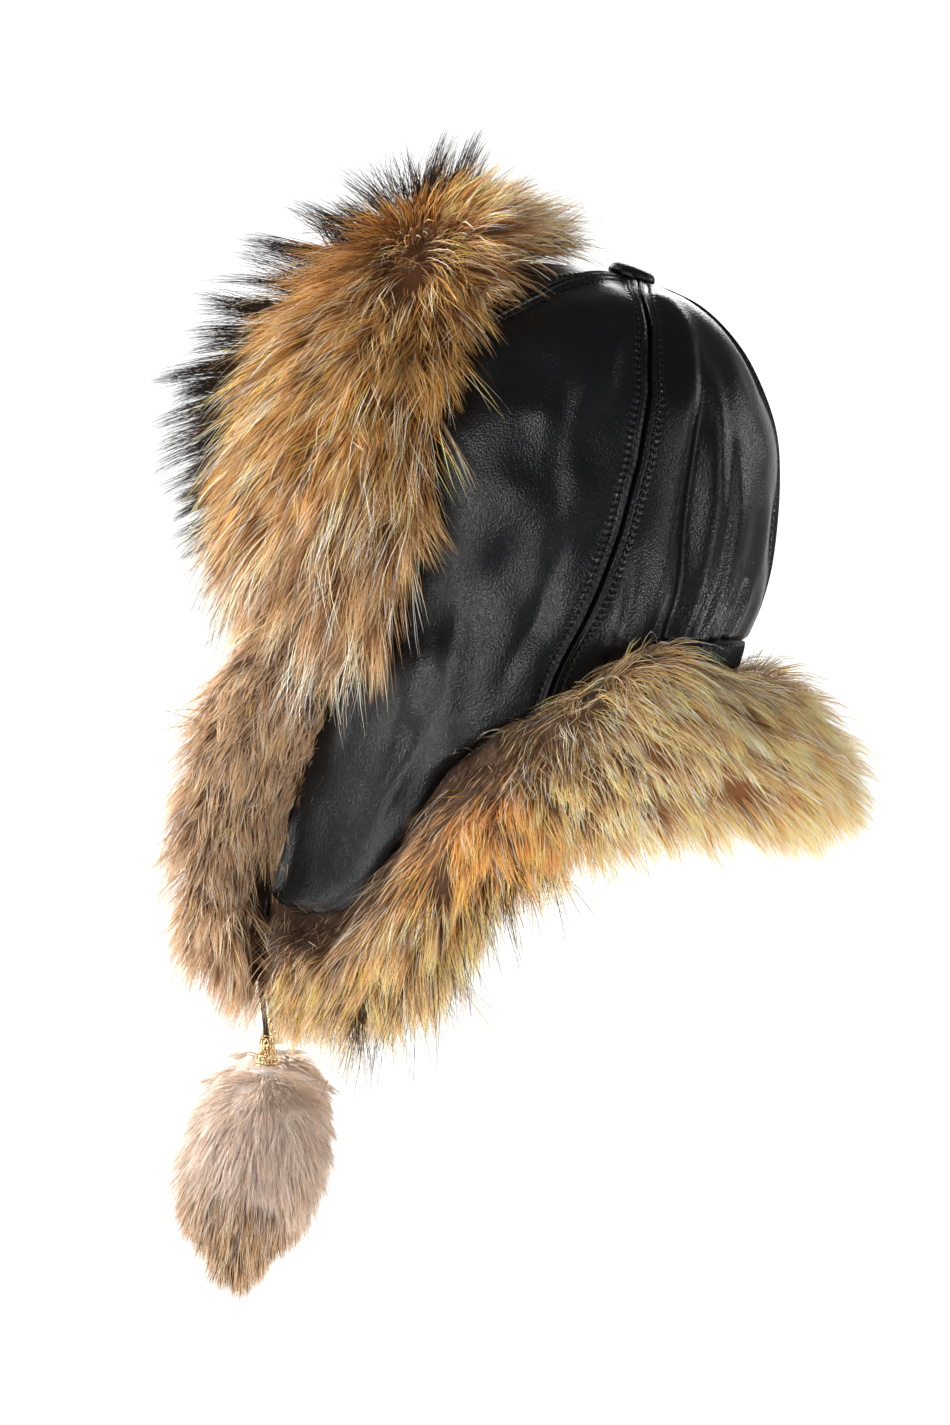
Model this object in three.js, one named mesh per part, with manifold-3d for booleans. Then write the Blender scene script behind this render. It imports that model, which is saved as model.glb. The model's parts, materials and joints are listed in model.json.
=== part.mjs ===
// A leather ushanka with a turned-up fur visor, fur-lined ear flaps and two hanging fur pompoms.
// Millimetres. +Z is up, the wearer faces -Y and the wearer's left is +X.
// The origin is the middle of the head opening, level with the forehead edge.
import * as THREE from 'three';
import { mergeVertices } from 'three/addons/utils/BufferGeometryUtils.js';
import Module from 'manifold-3d';

const wasm = await Module();
wasm.setup();

// Driving dimensions
const crownLength = 206;
const crownWidth = 178;
const crownHeight = 153;
const flapDrop = 140;
const leather = 2;
const touchGap = 0.3;
const buttonRadius = 11;
const buttonThickness = 7;
const pleatPitch = 4;
const pleatDepth = 1.3;
const elasticHeight = 23;
const furDepth = 54;
const furReach = 88;
const furThickness = 56;
const liningDepth = 18;
const lockLength = 30;
const lockRadius = 11;
const cordDiameter = 2.4;
const cordLength = 68;
const grooveWidth = 7;
const capHeight = 14;
const capRadius = 5.6;
const capWall = 0.9;
const pompomLength = 94;
const pompomRadius = 33;
const pompomLean = 8;
const ringPower = 2.2;

// Closed rings from the button down to the forehead edge, each a tilted oval through one point of
// the front outline and one of the back outline. Front and back are shares of the crown's length,
// their rises of its height, and half is a share of half its width.
const crownRings = [
  { front: 0.187, frontRise: 0.963, back: 0.241, backRise: 0.937, half: 0.062 },
  { front: 0.049, frontRise: 1.0, back: 0.369, backRise: 0.863, half: 0.45 },
  { front: -0.121, frontRise: 0.967, back: 0.466, backRise: 0.725, half: 0.72 },
  { front: -0.301, frontRise: 0.797, back: 0.524, backRise: 0.536, half: 0.9 },
  { front: -0.413, frontRise: 0.556, back: 0.538, backRise: 0.353, half: 0.975 },
  { front: -0.466, frontRise: 0.294, back: 0.531, backRise: 0.163, half: 1.0 },
  { front: -0.485, frontRise: 0.0, back: 0.5, backRise: 0.0, half: 0.99 },
];
// Level rings below the forehead edge, which move forward as they go down. Drop is a share of flapDrop.
const skirtRings = [
  { drop: 0.214, front: -0.519, back: 0.442, half: 0.978 },
  { drop: 0.429, front: -0.573, back: 0.427, half: 0.955 },
  { drop: 0.714, front: -0.665, back: 0.354, half: 0.9 },
  { drop: 1.0, front: -0.752, back: 0.277, half: 0.82 },
  { drop: 1.357, front: -0.83, back: 0.194, half: 0.76 },
];
const rings = [
  ...crownRings.map((r) => ({
    frontY: r.front * crownLength,
    frontZ: r.frontRise * crownHeight,
    backY: r.back * crownLength,
    backZ: r.backRise * crownHeight,
    half: (r.half * crownWidth) / 2,
  })),
  ...skirtRings.map((r) => ({
    frontY: r.front * crownLength,
    frontZ: -r.drop * flapDrop,
    backY: r.back * crownLength,
    backZ: -r.drop * flapDrop,
    half: (r.half * crownWidth) / 2,
  })),
];
const bandRing = crownRings.length - 1;
const tipRing = bandRing + 4;

// Seams and edges in side view: ring is a place in the list of rings, and across runs from -1 on
// the front outline to 1 on the back outline.
const frontSeam = [
  { ring: 0, across: -0.45 },
  { ring: 1, across: -0.46 },
  { ring: 2, across: -0.5 },
  { ring: 3, across: -0.66 },
  { ring: 4, across: -0.74 },
  { ring: 6, across: -0.8 },
  { ring: 8, across: -0.796 },
  { ring: 9, across: -0.743 },
  { ring: 9.72, across: -0.695 },
  { ring: 9.88, across: -0.6 },
  { ring: 10, across: -0.43 },
];
const sideSeam = [
  { ring: 0, across: 0.3 },
  { ring: 1, across: 0.18 },
  { ring: 2, across: 0.31 },
  { ring: 3, across: 0.38 },
  { ring: 4, across: 0.385 },
  { ring: 5, across: 0.346 },
  { ring: 6, across: 0.278 },
  { ring: 7.62, across: 0.2 },
  { ring: 7.85, across: 0.02 },
  { ring: 8.4, across: -0.145 },
  { ring: 9, across: -0.185 },
  { ring: 9.7, across: -0.225 },
  { ring: 9.88, across: -0.29 },
  { ring: 10, across: -0.37 },
];
// The lower edge of a back panel, from the side seam to the back seam. The elastic takes over below
// its last stretch, which is level.
const backHem = [
  { across: 0.2, ring: 7.62 },
  { across: 0.3, ring: 7.5 },
  { across: 0.5, ring: 7.05 },
  { across: 0.61, ring: 6.6 },
  { across: 1, ring: 6.6 },
];
const elasticStart = 0.7;

// Folds of the crown: ridges (positive height, in mm) and creases that run down the rings.
const folds = [
  { from: 1.0, to: 4.2, start: 0.5, end: 0.72, width: 0.09, height: 3.2 },
  { from: 2.6, to: 7.0, start: 0.66, end: 0.7, width: 0.07, height: -5.5 },
  { from: 3.2, to: 7.0, start: 0.84, end: 0.84, width: 0.08, height: 2.6 },
  { from: 4.4, to: 7.0, start: 0.93, end: 0.92, width: 0.05, height: -2.6 },
  { from: 3.6, to: 8.2, start: -0.3, end: -0.2, width: 0.3, height: -2.4 },
  { from: 7.4, to: 9.8, start: -0.42, end: -0.5, width: 0.2, height: -2.2 },
  { from: 1.2, to: 2.6, start: -0.2, end: -0.1, width: 0.2, height: -1.8 },
];

// A smooth curve through the rows of a table, at a place given by its key column.
function along(rows, key, column, place) {
  const last = rows.length - 1;
  let i = 0;
  while (i < last - 1 && place > rows[i + 1][key]) i += 1;
  const [a, b] = [rows[i], rows[i + 1]];
  const u = THREE.MathUtils.clamp((place - a[key]) / (b[key] - a[key]), 0, 1);
  return THREE.MathUtils.lerp(a[column], b[column], u);
}

function ringValue(column, v) {
  const last = rings.length - 1;
  const i = Math.min(Math.max(Math.floor(v), 0), last - 1);
  const u = v - i;
  const p = [i - 1, i, i + 1, i + 2].map((k) => rings[Math.min(Math.max(k, 0), last)][column]);
  const slopeIn = (p[2] - p[0]) / 2;
  const slopeOut = (p[3] - p[1]) / 2;
  const u2 = u * u;
  const u3 = u2 * u;
  return (2 * u3 - 3 * u2 + 1) * p[1] + (u3 - 2 * u2 + u) * slopeIn
    + (3 * u2 - 2 * u3) * p[2] + (u3 - u2) * slopeOut;
}

const signedPower = (x, p) => Math.sign(x) * Math.abs(x) ** p;
const turnOf = (across) => Math.asin(signedPower(across, ringPower / 2));
const acrossOf = (turn) => signedPower(Math.sin(turn), 2 / ringPower);

// A point of the hat's form. Turn is -90 degrees at the front, 0 at the left side, 90 at the back.
function plainPoint(turn, v) {
  const s = acrossOf(turn);
  const c = signedPower(Math.cos(turn), 2 / ringPower);
  const [fy, fz] = [ringValue('frontY', v), ringValue('frontZ', v)];
  const [by, bz] = [ringValue('backY', v), ringValue('backZ', v)];
  return new THREE.Vector3(
    ringValue('half', v) * c,
    (fy + by) / 2 + ((by - fy) / 2) * s,
    (fz + bz) / 2 + ((bz - fz) / 2) * s,
  );
}

function normalAt(turn, v) {
  const step = 0.02;
  const around = plainPoint(turn + step, v).sub(plainPoint(turn - step, v));
  const down = plainPoint(turn, v + step).sub(plainPoint(turn, v - step));
  return down.cross(around).normalize();
}

function foldHeight(turn, v) {
  const s = acrossOf(turn);
  let sum = 0;
  for (const f of folds) {
    const u = (v - f.from) / (f.to - f.from);
    if (u <= 0 || u >= 1) continue;
    const away = (s - THREE.MathUtils.lerp(f.start, f.end, u)) / f.width;
    sum += f.height * Math.sin(Math.PI * u) * Math.exp(-away * away);
  }
  return sum;
}

function hatPoint(turn, v, out = 0) {
  return plainPoint(turn, v).addScaledVector(normalAt(turn, v), out + foldHeight(turn, v));
}

// A box of segments whose corners are sent to new places by a function of three shares, 0 to 1.
function bentBox(across, down, through, place) {
  const box = new THREE.BoxGeometry(1, 1, 1, across, down, through);
  const position = box.attributes.position;
  for (let i = 0; i < position.count; i += 1) {
    const p = place(position.getX(i) + 0.5, 0.5 - position.getY(i), position.getZ(i) + 0.5);
    position.setXYZ(i, p.x, p.y, p.z);
  }
  return box;
}

// A closed mesh as a solid. A mesh that came out mirrored is turned right side out.
function solid(geometry) {
  const g = geometry.index ? geometry.clone() : mergeVertices(geometry);
  g.deleteAttribute('normal');
  g.deleteAttribute('uv');
  const merged = mergeVertices(g, 1e-4);
  const triVerts = new Uint32Array(merged.index.array);
  const vertProperties = new Float32Array(merged.attributes.position.array);
  const corner = (k) => new THREE.Vector3().fromArray(vertProperties, 3 * triVerts[k]);
  let volume = 0;
  for (let t = 0; t < triVerts.length; t += 3) {
    volume += corner(t).dot(corner(t + 1).cross(corner(t + 2)));
  }
  if (volume < 0) {
    for (let t = 0; t < triVerts.length; t += 3) {
      [triVerts[t + 1], triVerts[t + 2]] = [triVerts[t + 2], triVerts[t + 1]];
    }
  }
  return new wasm.Manifold(new wasm.Mesh({ numProp: 3, vertProperties, triVerts }));
}

function geometryOf(manifold) {
  const mesh = manifold.getMesh();
  const geometry = new THREE.BufferGeometry();
  geometry.setAttribute('position', new THREE.BufferAttribute(mesh.vertProperties, 3));
  geometry.setIndex(new THREE.BufferAttribute(mesh.triVerts, 1));
  return geometry;
}

// The largest body of a solid, without the crumbs that a cut leaves.
function mainBody(manifold) {
  return manifold.decompose().sort((a, b) => b.volume() - a.volume())[0];
}

const colours = {
  leather: { color: 0x17181b, roughness: 0.42, metalness: 0 },
  frontFur: { color: 0xb07a3e, roughness: 0.95, metalness: 0 },
  flapFur: { color: 0x9a7f63, roughness: 0.95, metalness: 0 },
  pompomFur: { color: 0x8f8078, roughness: 0.95, metalness: 0 },
  gold: { color: 0xc9a255, roughness: 0.3, metalness: 1 },
};
const hat = new THREE.Group();

function add(name, geometry, colour) {
  const mesh = new THREE.Mesh(geometry, new THREE.MeshStandardMaterial(colours[colour]));
  mesh.name = name;
  hat.add(mesh);
}

// Leather panels. Side is 1 for the wearer's left and -1 for the right. Grow thickens and widens a
// panel, for the clearance cut out of the fur next to it.
const mirrored = (point, side) => point.setX(point.x * side);

function seamShift(v) {
  return touchGap / 2 / ((ringValue('backY', v) - ringValue('frontY', v)) / 2);
}

// Rows of corners shared by neighbouring panels, so that their seams run side by side.
const crownRows = 12;
const hemRows = 3;
const flapStops = [8.0, 8.4, 8.8, 9.2, 9.5, 9.72, 9.88, tipRing];
const seamEnd = backHem[0].ring;

function rowRing(row, hem = seamEnd) {
  if (row <= crownRows) return (bandRing * row) / crownRows;
  if (row <= crownRows + hemRows) return bandRing + ((hem - bandRing) * (row - crownRows)) / hemRows;
  return flapStops[row - crownRows - hemRows - 1];
}

function frontPanel(grow = 0) {
  return bentBox(10, crownRows, 1, (a, t, d) => {
    const v = rowRing(Math.round(t * crownRows));
    const edge = turnOf(along(frontSeam, 'ring', 'across', v) - seamShift(v));
    const turn = THREE.MathUtils.lerp(-Math.PI - edge, edge, a);
    return hatPoint(turn, v, THREE.MathUtils.lerp(-leather - grow, grow, d));
  });
}

function sidePanel(side, grow = 0) {
  const rows = crownRows + hemRows + flapStops.length;
  return bentBox(6, rows, 1, (a, t, d) => {
    const ring = rowRing(Math.round(t * rows));
    const v = ring + grow * 0.03 * t;
    const margin = grow * 0.014 - seamShift(ring);
    const fore = along(frontSeam, 'ring', 'across', ring) - margin;
    const aft = along(sideSeam, 'ring', 'across', ring) + margin;
    const turn = turnOf(THREE.MathUtils.lerp(fore, aft, a));
    return mirrored(hatPoint(turn, v, THREE.MathUtils.lerp(-leather - grow, grow, d)), side);
  });
}

function backPanel(side, grow = 0) {
  const rows = crownRows + hemRows;
  return bentBox(10, rows, 1, (a, t, d) => {
    const hemTurn = THREE.MathUtils.lerp(turnOf(backHem[0].across), Math.PI / 2, a);
    const hem = along(backHem, 'across', 'ring', acrossOf(hemTurn));
    const v = rowRing(Math.round(t * rows), hem) + grow * 0.02 * t;
    const fore = turnOf(along(sideSeam, 'ring', 'across', v) + seamShift(v) - grow * 0.012);
    const inset = (touchGap / 2) / Math.max(ringValue('half', v), 1);
    const turn = THREE.MathUtils.lerp(fore, Math.PI / 2 - inset + grow * 0.012, a);
    return mirrored(hatPoint(turn, v, THREE.MathUtils.lerp(-leather - grow, grow, d)), side);
  });
}

// The shirred casing at the nape: pleats stand round the curve from one side to the other.
const elasticTop = 6.6 + 0.02;
const elasticDeep = elasticTop + elasticHeight / (skirtRings[0].drop * flapDrop);

function napeElastic(grow = 0) {
  const start = turnOf(elasticStart) - grow * 0.012;
  const arc = (Math.PI - 2 * start) * ringValue('half', elasticTop);
  const pleats = Math.round(arc / pleatPitch);
  const columns = grow > 0 ? 16 : pleats * 2;
  return bentBox(columns, 1, 1, (a, t, d) => {
    const v = THREE.MathUtils.lerp(elasticTop - grow * 0.02, elasticDeep + grow * 0.02, t);
    const turn = THREE.MathUtils.lerp(start, Math.PI - start, a);
    const pleat = grow > 0 ? pleatDepth : pleatDepth * (0.5 - 0.5 * Math.cos(2 * Math.PI * pleats * a));
    const out = d * (leather + grow + pleat) - (1 - d) * grow;
    return plainPoint(turn, v).addScaledVector(normalAt(turn, v), out - leather);
  });
}

const frontLeather = solid(frontPanel());
add('front_panel', geometryOf(frontLeather), 'leather');
for (const [word, side] of [['left', 1], ['right', -1]]) {
  add(`side_panel_${word}`, geometryOf(solid(sidePanel(side))), 'leather');
  add(`back_panel_${word}`, geometryOf(solid(backPanel(side))), 'leather');
}
add('nape_elastic', geometryOf(solid(napeElastic())), 'leather');

// The covered button stands on the rims of the five panels, tilted as the crown is there.
const poleFront = plainPoint(-Math.PI / 2, 0.35);
const poleBack = plainPoint(Math.PI / 2, 0.35);
const pole = poleFront.clone().add(poleBack).multiplyScalar(0.5);
const poleTilt = Math.atan2(poleBack.z - poleFront.z, poleBack.y - poleFront.y);
const poleUp = new THREE.Vector3(0, -Math.sin(poleTilt), Math.cos(poleTilt));
let seatRise = 0;
for (let v = 0; v <= 1; v += 0.05) {
  for (let turn = 0; turn < 2 * Math.PI; turn += Math.PI / 12) {
    const offset = hatPoint(turn, v).sub(pole);
    const rise = offset.dot(poleUp);
    if (Math.sqrt(offset.lengthSq() - rise * rise) < buttonRadius) seatRise = Math.max(seatRise, rise);
  }
}
seatRise += touchGap;
const buttonProfile = [
  [0, 0], [0.86, 0], [1, 0.28], [0.97, 0.55], [0.82, 0.8], [0.5, 0.95], [0, 1],
].map(([r, h]) => new THREE.Vector2(r * buttonRadius, h * buttonThickness));
const button = new THREE.LatheGeometry(buttonProfile, 16);
button.rotateX(Math.PI / 2);
button.translate(0, 0, seatRise);
button.rotateX(poleTilt);
button.translate(pole.x, pole.y, pole.z);
add('crown_button', geometryOf(solid(button)), 'leather');

// Fur. A lock is a pointed tuft, rooted in the body behind it and leaning along the hair's flow.
function lock(root, outward, flow, length, radius) {
  const cone = new THREE.ConeGeometry(radius, length, 4, 1);
  cone.translate(0, length / 2, 0);
  const lean = flow.clone().multiplyScalar(0.9).addScaledVector(outward, 0.42).normalize();
  cone.applyQuaternion(new THREE.Quaternion().setFromUnitVectors(new THREE.Vector3(0, 1, 0), lean));
  const base = root.clone().addScaledVector(outward, -0.75 * radius);
  cone.translate(base.x, base.y, base.z);
  return solid(cone);
}

// Everything on one side of a line in side view, as a prism across the hat. Behind the line's last
// point, the lower prism takes in everything.
const trimLine = [
  { y: -2.2, z: 0.34 },
  { y: -0.72, z: 0.11 },
  { y: -0.5, z: -0.06 },
  { y: -0.34, z: -0.13 },
  { y: 0.1, z: -0.13 },
];
function trimPrism(above, shift) {
  const line = trimLine.map((p) => new THREE.Vector2(p.y * crownLength, p.z * crownHeight + shift));
  const far = above ? 3 * crownHeight : -3 * crownHeight;
  const turnUp = above ? line.at(-1).y : 3 * crownHeight;
  const outline = [
    ...line,
    new THREE.Vector2(line.at(-1).x, turnUp),
    new THREE.Vector2(2 * crownLength, turnUp),
    new THREE.Vector2(2 * crownLength, far),
    new THREE.Vector2(line[0].x, far),
  ];
  const prism = new THREE.ExtrudeGeometry(new THREE.Shape(outline), {
    depth: 3 * crownWidth,
    bevelEnabled: false,
  });
  prism.translate(0, 0, -1.5 * crownWidth);
  // The shape's own x and y become the hat's Y and Z, and its depth the hat's X.
  const turned = new THREE.Matrix4().makeBasis(
    new THREE.Vector3(0, 1, 0),
    new THREE.Vector3(0, 0, 1),
    new THREE.Vector3(1, 0, 0),
  );
  prism.applyMatrix4(turned);
  return solid(prism);
}

// The visor: a deep pad of fur round the front of the crown. Edge is the place of its side edge in
// side view and depth a share of furDepth at the middle of the front.
const visorRows = [
  { ring: 1.25, edge: -0.93, depth: 0.42 },
  { ring: 1.8, edge: -0.8, depth: 0.78 },
  { ring: 2.6, edge: -0.66, depth: 0.96 },
  { ring: 3.4, edge: -0.56, depth: 1.0 },
  { ring: 4.4, edge: -0.5, depth: 0.97 },
  { ring: 5.4, edge: -0.5, depth: 0.92 },
  { ring: 6.35, edge: -0.6, depth: 0.78 },
];
const visorTop = visorRows[0].ring;
const visorLow = visorRows.at(-1).ring;
const whorl = new THREE.Vector3(0, -0.25 * crownLength, 1.06 * crownHeight);

function visorPlace(a, t, out) {
  const v = THREE.MathUtils.lerp(visorTop, visorLow, t);
  const edge = turnOf(along(visorRows, 'ring', 'edge', v));
  const turn = THREE.MathUtils.lerp(-Math.PI - edge, edge, a);
  const crossFade = (1 - Math.abs(2 * a - 1) ** 3.2) ** 0.7;
  const endFade = (1 - Math.abs(2 * t - 1) ** 5) ** 0.5;
  const middle = 0.62 + 0.38 * (1 - Math.abs(2 * a - 1) ** 2);
  const depth = furDepth * along(visorRows, 'ring', 'depth', v) * crossFade * endFade * middle;
  return plainPoint(turn, v)
    .addScaledVector(normalAt(turn, v), touchGap + 3.6 + out * Math.max(depth, 5));
}

function visorFur() {
  let body = solid(bentBox(12, 7, 1, visorPlace));
  const [rows, columns] = [5, 9];
  for (let i = 0; i < rows; i += 1) {
    for (let j = 0; j < columns; j += 1) {
      const a = (j + 0.5 + 0.25 * (i % 2 ? 1 : -1)) / columns;
      const t = (i + 0.6) / rows;
      const root = visorPlace(a, t, 1);
      const outward = visorPlace(a, t, 1.02).sub(visorPlace(a, t, 0.9)).normalize();
      const away = root.clone().sub(whorl);
      away.x *= 0.5;
      const flow = away.addScaledVector(outward, -away.dot(outward)).normalize();
      const size = 0.85 + 0.3 * Math.sin(5.1 * i + 2.3 * j) ** 2;
      body = body.add(lock(root, outward, flow, lockLength * size, lockRadius * size));
    }
  }
  return body;
}

// The fur round the flaps and the nape, in stations along the leather's lower edge. Back and down
// are how far the fur reaches past the edge in side view, as shares of furReach, lift moves it out
// of the leather's face and thick is a share of furThickness.
const bandStations = [
  { ring: 6.2, across: -0.8, back: -0.62, down: 0.02, lift: 0.12, thick: 0.85 },
  { ring: 7.4, across: -0.8, back: -0.78, down: -0.05, lift: 0.12, thick: 1.0 },
  { ring: 8.8, across: -0.755, back: -0.66, down: -0.14, lift: 0.12, thick: 1.0 },
  { ring: 9.7, across: -0.69, back: -0.42, down: -0.42, lift: 0.12, thick: 0.95 },
  { ring: 9.95, across: -0.5, back: -0.05, down: -0.72, lift: 0.12, thick: 0.95 },
  { ring: 9.9, across: -0.3, back: 0.12, down: -0.8, lift: 0.12, thick: 1.0 },
  { ring: 9.2, across: -0.19, back: 0.2, down: -0.88, lift: 0.14, thick: 1.05 },
  { ring: 8.3, across: -0.12, back: 0.22, down: -0.94, lift: 0.16, thick: 1.1 },
  { ring: 7.75, across: 0.1, back: 0.24, down: -0.92, lift: 0.2, thick: 1.1 },
  { ring: 7.35, across: 0.4, back: 0.3, down: -0.9, lift: 0.22, thick: 1.08 },
  { ring: 7.25, across: 0.7, back: 0.34, down: -0.9, lift: 0.25, thick: 1.0 },
  { ring: 7.4, across: 0.9, back: 0.36, down: -0.82, lift: 0.28, thick: 0.92 },
  { ring: 7.42, across: 1.0, back: 0.36, down: -0.8, lift: 0.29, thick: 0.9 },
];
bandStations.forEach((row, i) => { row.place = i / (bandStations.length - 1); });
const napeJoin = 0.76;

// A point on the band: place runs along it, angle goes round its section and size scales that.
function bandPlace(side, place, angle, size) {
  const get = (column) => along(bandStations, 'place', column, place);
  const turn = turnOf(get('across'));
  const v = get('ring');
  const edge = plainPoint(turn, v);
  const outward = normalAt(turn, v);
  const reach = new THREE.Vector3(0, get('back') * furReach, get('down') * furReach);
  reach.x = -0.1 * Math.abs(reach.z) * Math.cos(turn);
  const half = (get('thick') * furThickness) / 2;
  return mirrored(edge
    .addScaledVector(reach, 0.45 + 0.5 * size * Math.cos(angle))
    .addScaledVector(outward, get('lift') * furThickness + half * size * Math.sin(angle)), side);
}

// From and to are places on the left side, or past 1 on the right side, where 2 is its front end.
function bandSolid(from, to, steps) {
  const cylinder = new THREE.CylinderGeometry(1, 1, 1, 8, steps);
  const position = cylinder.attributes.position;
  for (let i = 0; i < position.count; i += 1) {
    const [x, z] = [position.getX(i), position.getZ(i)];
    const place = THREE.MathUtils.lerp(from, to, 0.5 - position.getY(i));
    const p = bandPlace(place > 1 ? -1 : 1, Math.min(place, 2 - place), Math.atan2(z, x), Math.hypot(x, z));
    position.setXYZ(i, p.x, p.y, p.z);
  }
  return solid(cylinder);
}

function bandLocks(side, from, to, rows) {
  const columns = 4;
  const locks = [];
  for (let i = 0; i < rows; i += 1) {
    const place = THREE.MathUtils.lerp(from, to, (i + 0.5) / rows);
    const centre = bandPlace(side, place, 0, 0);
    const flow = bandPlace(side, place, 0, 1).sub(centre).normalize();
    for (let j = 0; j < columns; j += 1) {
      const angle = THREE.MathUtils.lerp(-1.75, 1.75, (j + (i % 2 ? 0.25 : 0.75)) / columns);
      const root = bandPlace(side, place, angle, 0.93);
      const outward = root.clone().sub(centre);
      outward.addScaledVector(flow, -0.8 * outward.dot(flow)).normalize();
      const size = 0.8 + 0.3 * Math.sin(3.7 * i + 1.9 * j) ** 2;
      locks.push(lock(root, outward, flow, lockLength * size, lockRadius * size));
    }
  }
  return locks;
}

// The fur lining inside an ear flap, a pad behind the leather.
function flapLining(side) {
  return solid(bentBox(6, 9, 1, (a, t, d) => {
    const v = THREE.MathUtils.lerp(bandRing + 0.2, tipRing - 0.15, t);
    const fore = along(frontSeam, 'ring', 'across', v);
    const aft = along(sideSeam, 'ring', 'across', v);
    const turn = turnOf(THREE.MathUtils.lerp(fore, aft, a));
    const bulge = 0.75 + 0.25 * Math.sin(Math.PI * a);
    const out = -leather - touchGap - 3.4 - (1 - d) * liningDepth * bulge;
    return mirrored(plainPoint(turn, v).addScaledVector(normalAt(turn, v), out), side);
  }));
}

// A tie hangs from the front corner of a flap's tip: cord, pierced cap and pompom. Sway is in side
// view, and swing is how far the right tie hangs further forward than the left one.
const tieSwing = { left: 0, right: -7 };
const corner = frontSeam.at(-3);
const cornerPoint = hatPoint(turnOf(corner.across), corner.ring, -leather / 2);
const tieTop = cornerPoint.clone().add(new THREE.Vector3(0, 0.3 * cordDiameter, -1.8));
const tieSway = [
  0, -0.5, -1.1, -1.8, -2.4, -2.9, -3.3, -3.5, -3.4, -3.1, -2.7, -2.1, -1.6, -1.1, -0.7, -0.5,
];

function cordPoints(word, side) {
  return tieSway.map((y, i) => {
    const u = i / (tieSway.length - 1);
    return new THREE.Vector3(
      side * tieTop.x,
      tieTop.y + y + tieSwing[word] * THREE.MathUtils.smoothstep(u, 0, 1),
      tieTop.z - cordLength * u,
    );
  });
}

function ovalPoints(radius, sides) {
  return Array.from({ length: sides }, (_, i) => {
    const angle = (2 * Math.PI * i) / sides;
    return new THREE.Vector2(radius * Math.cos(angle), radius * Math.sin(angle));
  });
}

function tieCord(points) {
  return new THREE.ExtrudeGeometry(new THREE.Shape(ovalPoints(cordDiameter / 2, 8)), {
    steps: 12,
    bevelEnabled: false,
    extrudePath: new THREE.CatmullRomCurve3(points),
  });
}

// The groove between the two lobes of fur at a flap's tip, which the cord hangs in.
function tieGroove(word, side) {
  const inner = tieTop.x - 1.6 * cordDiameter;
  const outer = tieTop.x + furThickness * 1.5;
  const outline = [
    [inner, tieSwing[word] - 0.7 * grooveWidth], [outer, tieSwing[word] - 1.8 * grooveWidth],
    [outer, 1.2 * grooveWidth], [inner, 0.5 * grooveWidth],
  ].map(([x, y]) => new THREE.Vector2(side * x, tieTop.y + y));
  const wedge = new THREE.ExtrudeGeometry(new THREE.Shape(outline), {
    depth: cordLength + 2 * furReach,
    bevelEnabled: false,
  });
  wedge.translate(0, 0, tieTop.z + 4 - cordLength - 2 * furReach);
  return solid(wedge);
}

// The room that the pompom hangs in, kept free of the flap's fur.
function pompomRoom(word, side) {
  const end = cordPoints(word, side).at(-1);
  const room = new THREE.CylinderGeometry(1.2 * pompomRadius, 1.2 * pompomRadius, pompomLength, 12);
  room.rotateX(Math.PI / 2);
  room.translate(end.x, end.y, end.z - capHeight / 2 - pompomLength / 2);
  return solid(room);
}

// The cap is a bell, open below, with a hole for the cord above and a ring of petals cut through.
const capSink = 4.6;
const petals = 6;
function beadCap() {
  const hole = cordDiameter / 2 + touchGap;
  const profile = [
    [hole, 0], [hole + capWall, 0], [0.8 * capRadius, -0.5 * capHeight],
    [capRadius, -0.86 * capHeight], [capRadius, -capHeight], [capRadius - capWall, -capHeight],
    [0.8 * capRadius - capWall, -0.5 * capHeight], [hole, 0],
  ].map(([r, z]) => new THREE.Vector2(r, z)).reverse();
  let bell = solid(new THREE.LatheGeometry(profile, 10).rotateX(Math.PI / 2));
  for (let i = 0; i < petals; i += 1) {
    const petal = new THREE.CylinderGeometry(0.17 * capHeight, 0.17 * capHeight, capRadius, 5);
    petal.rotateZ(Math.PI / 2);
    petal.scale(1, 0.62, 1.25);
    petal.translate(0.85 * capRadius, 0, -0.6 * capHeight);
    petal.rotateZ(((i + 0.5) * 2 * Math.PI) / petals);
    bell = bell.subtract(solid(petal));
  }
  return geometryOf(bell);
}

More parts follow.
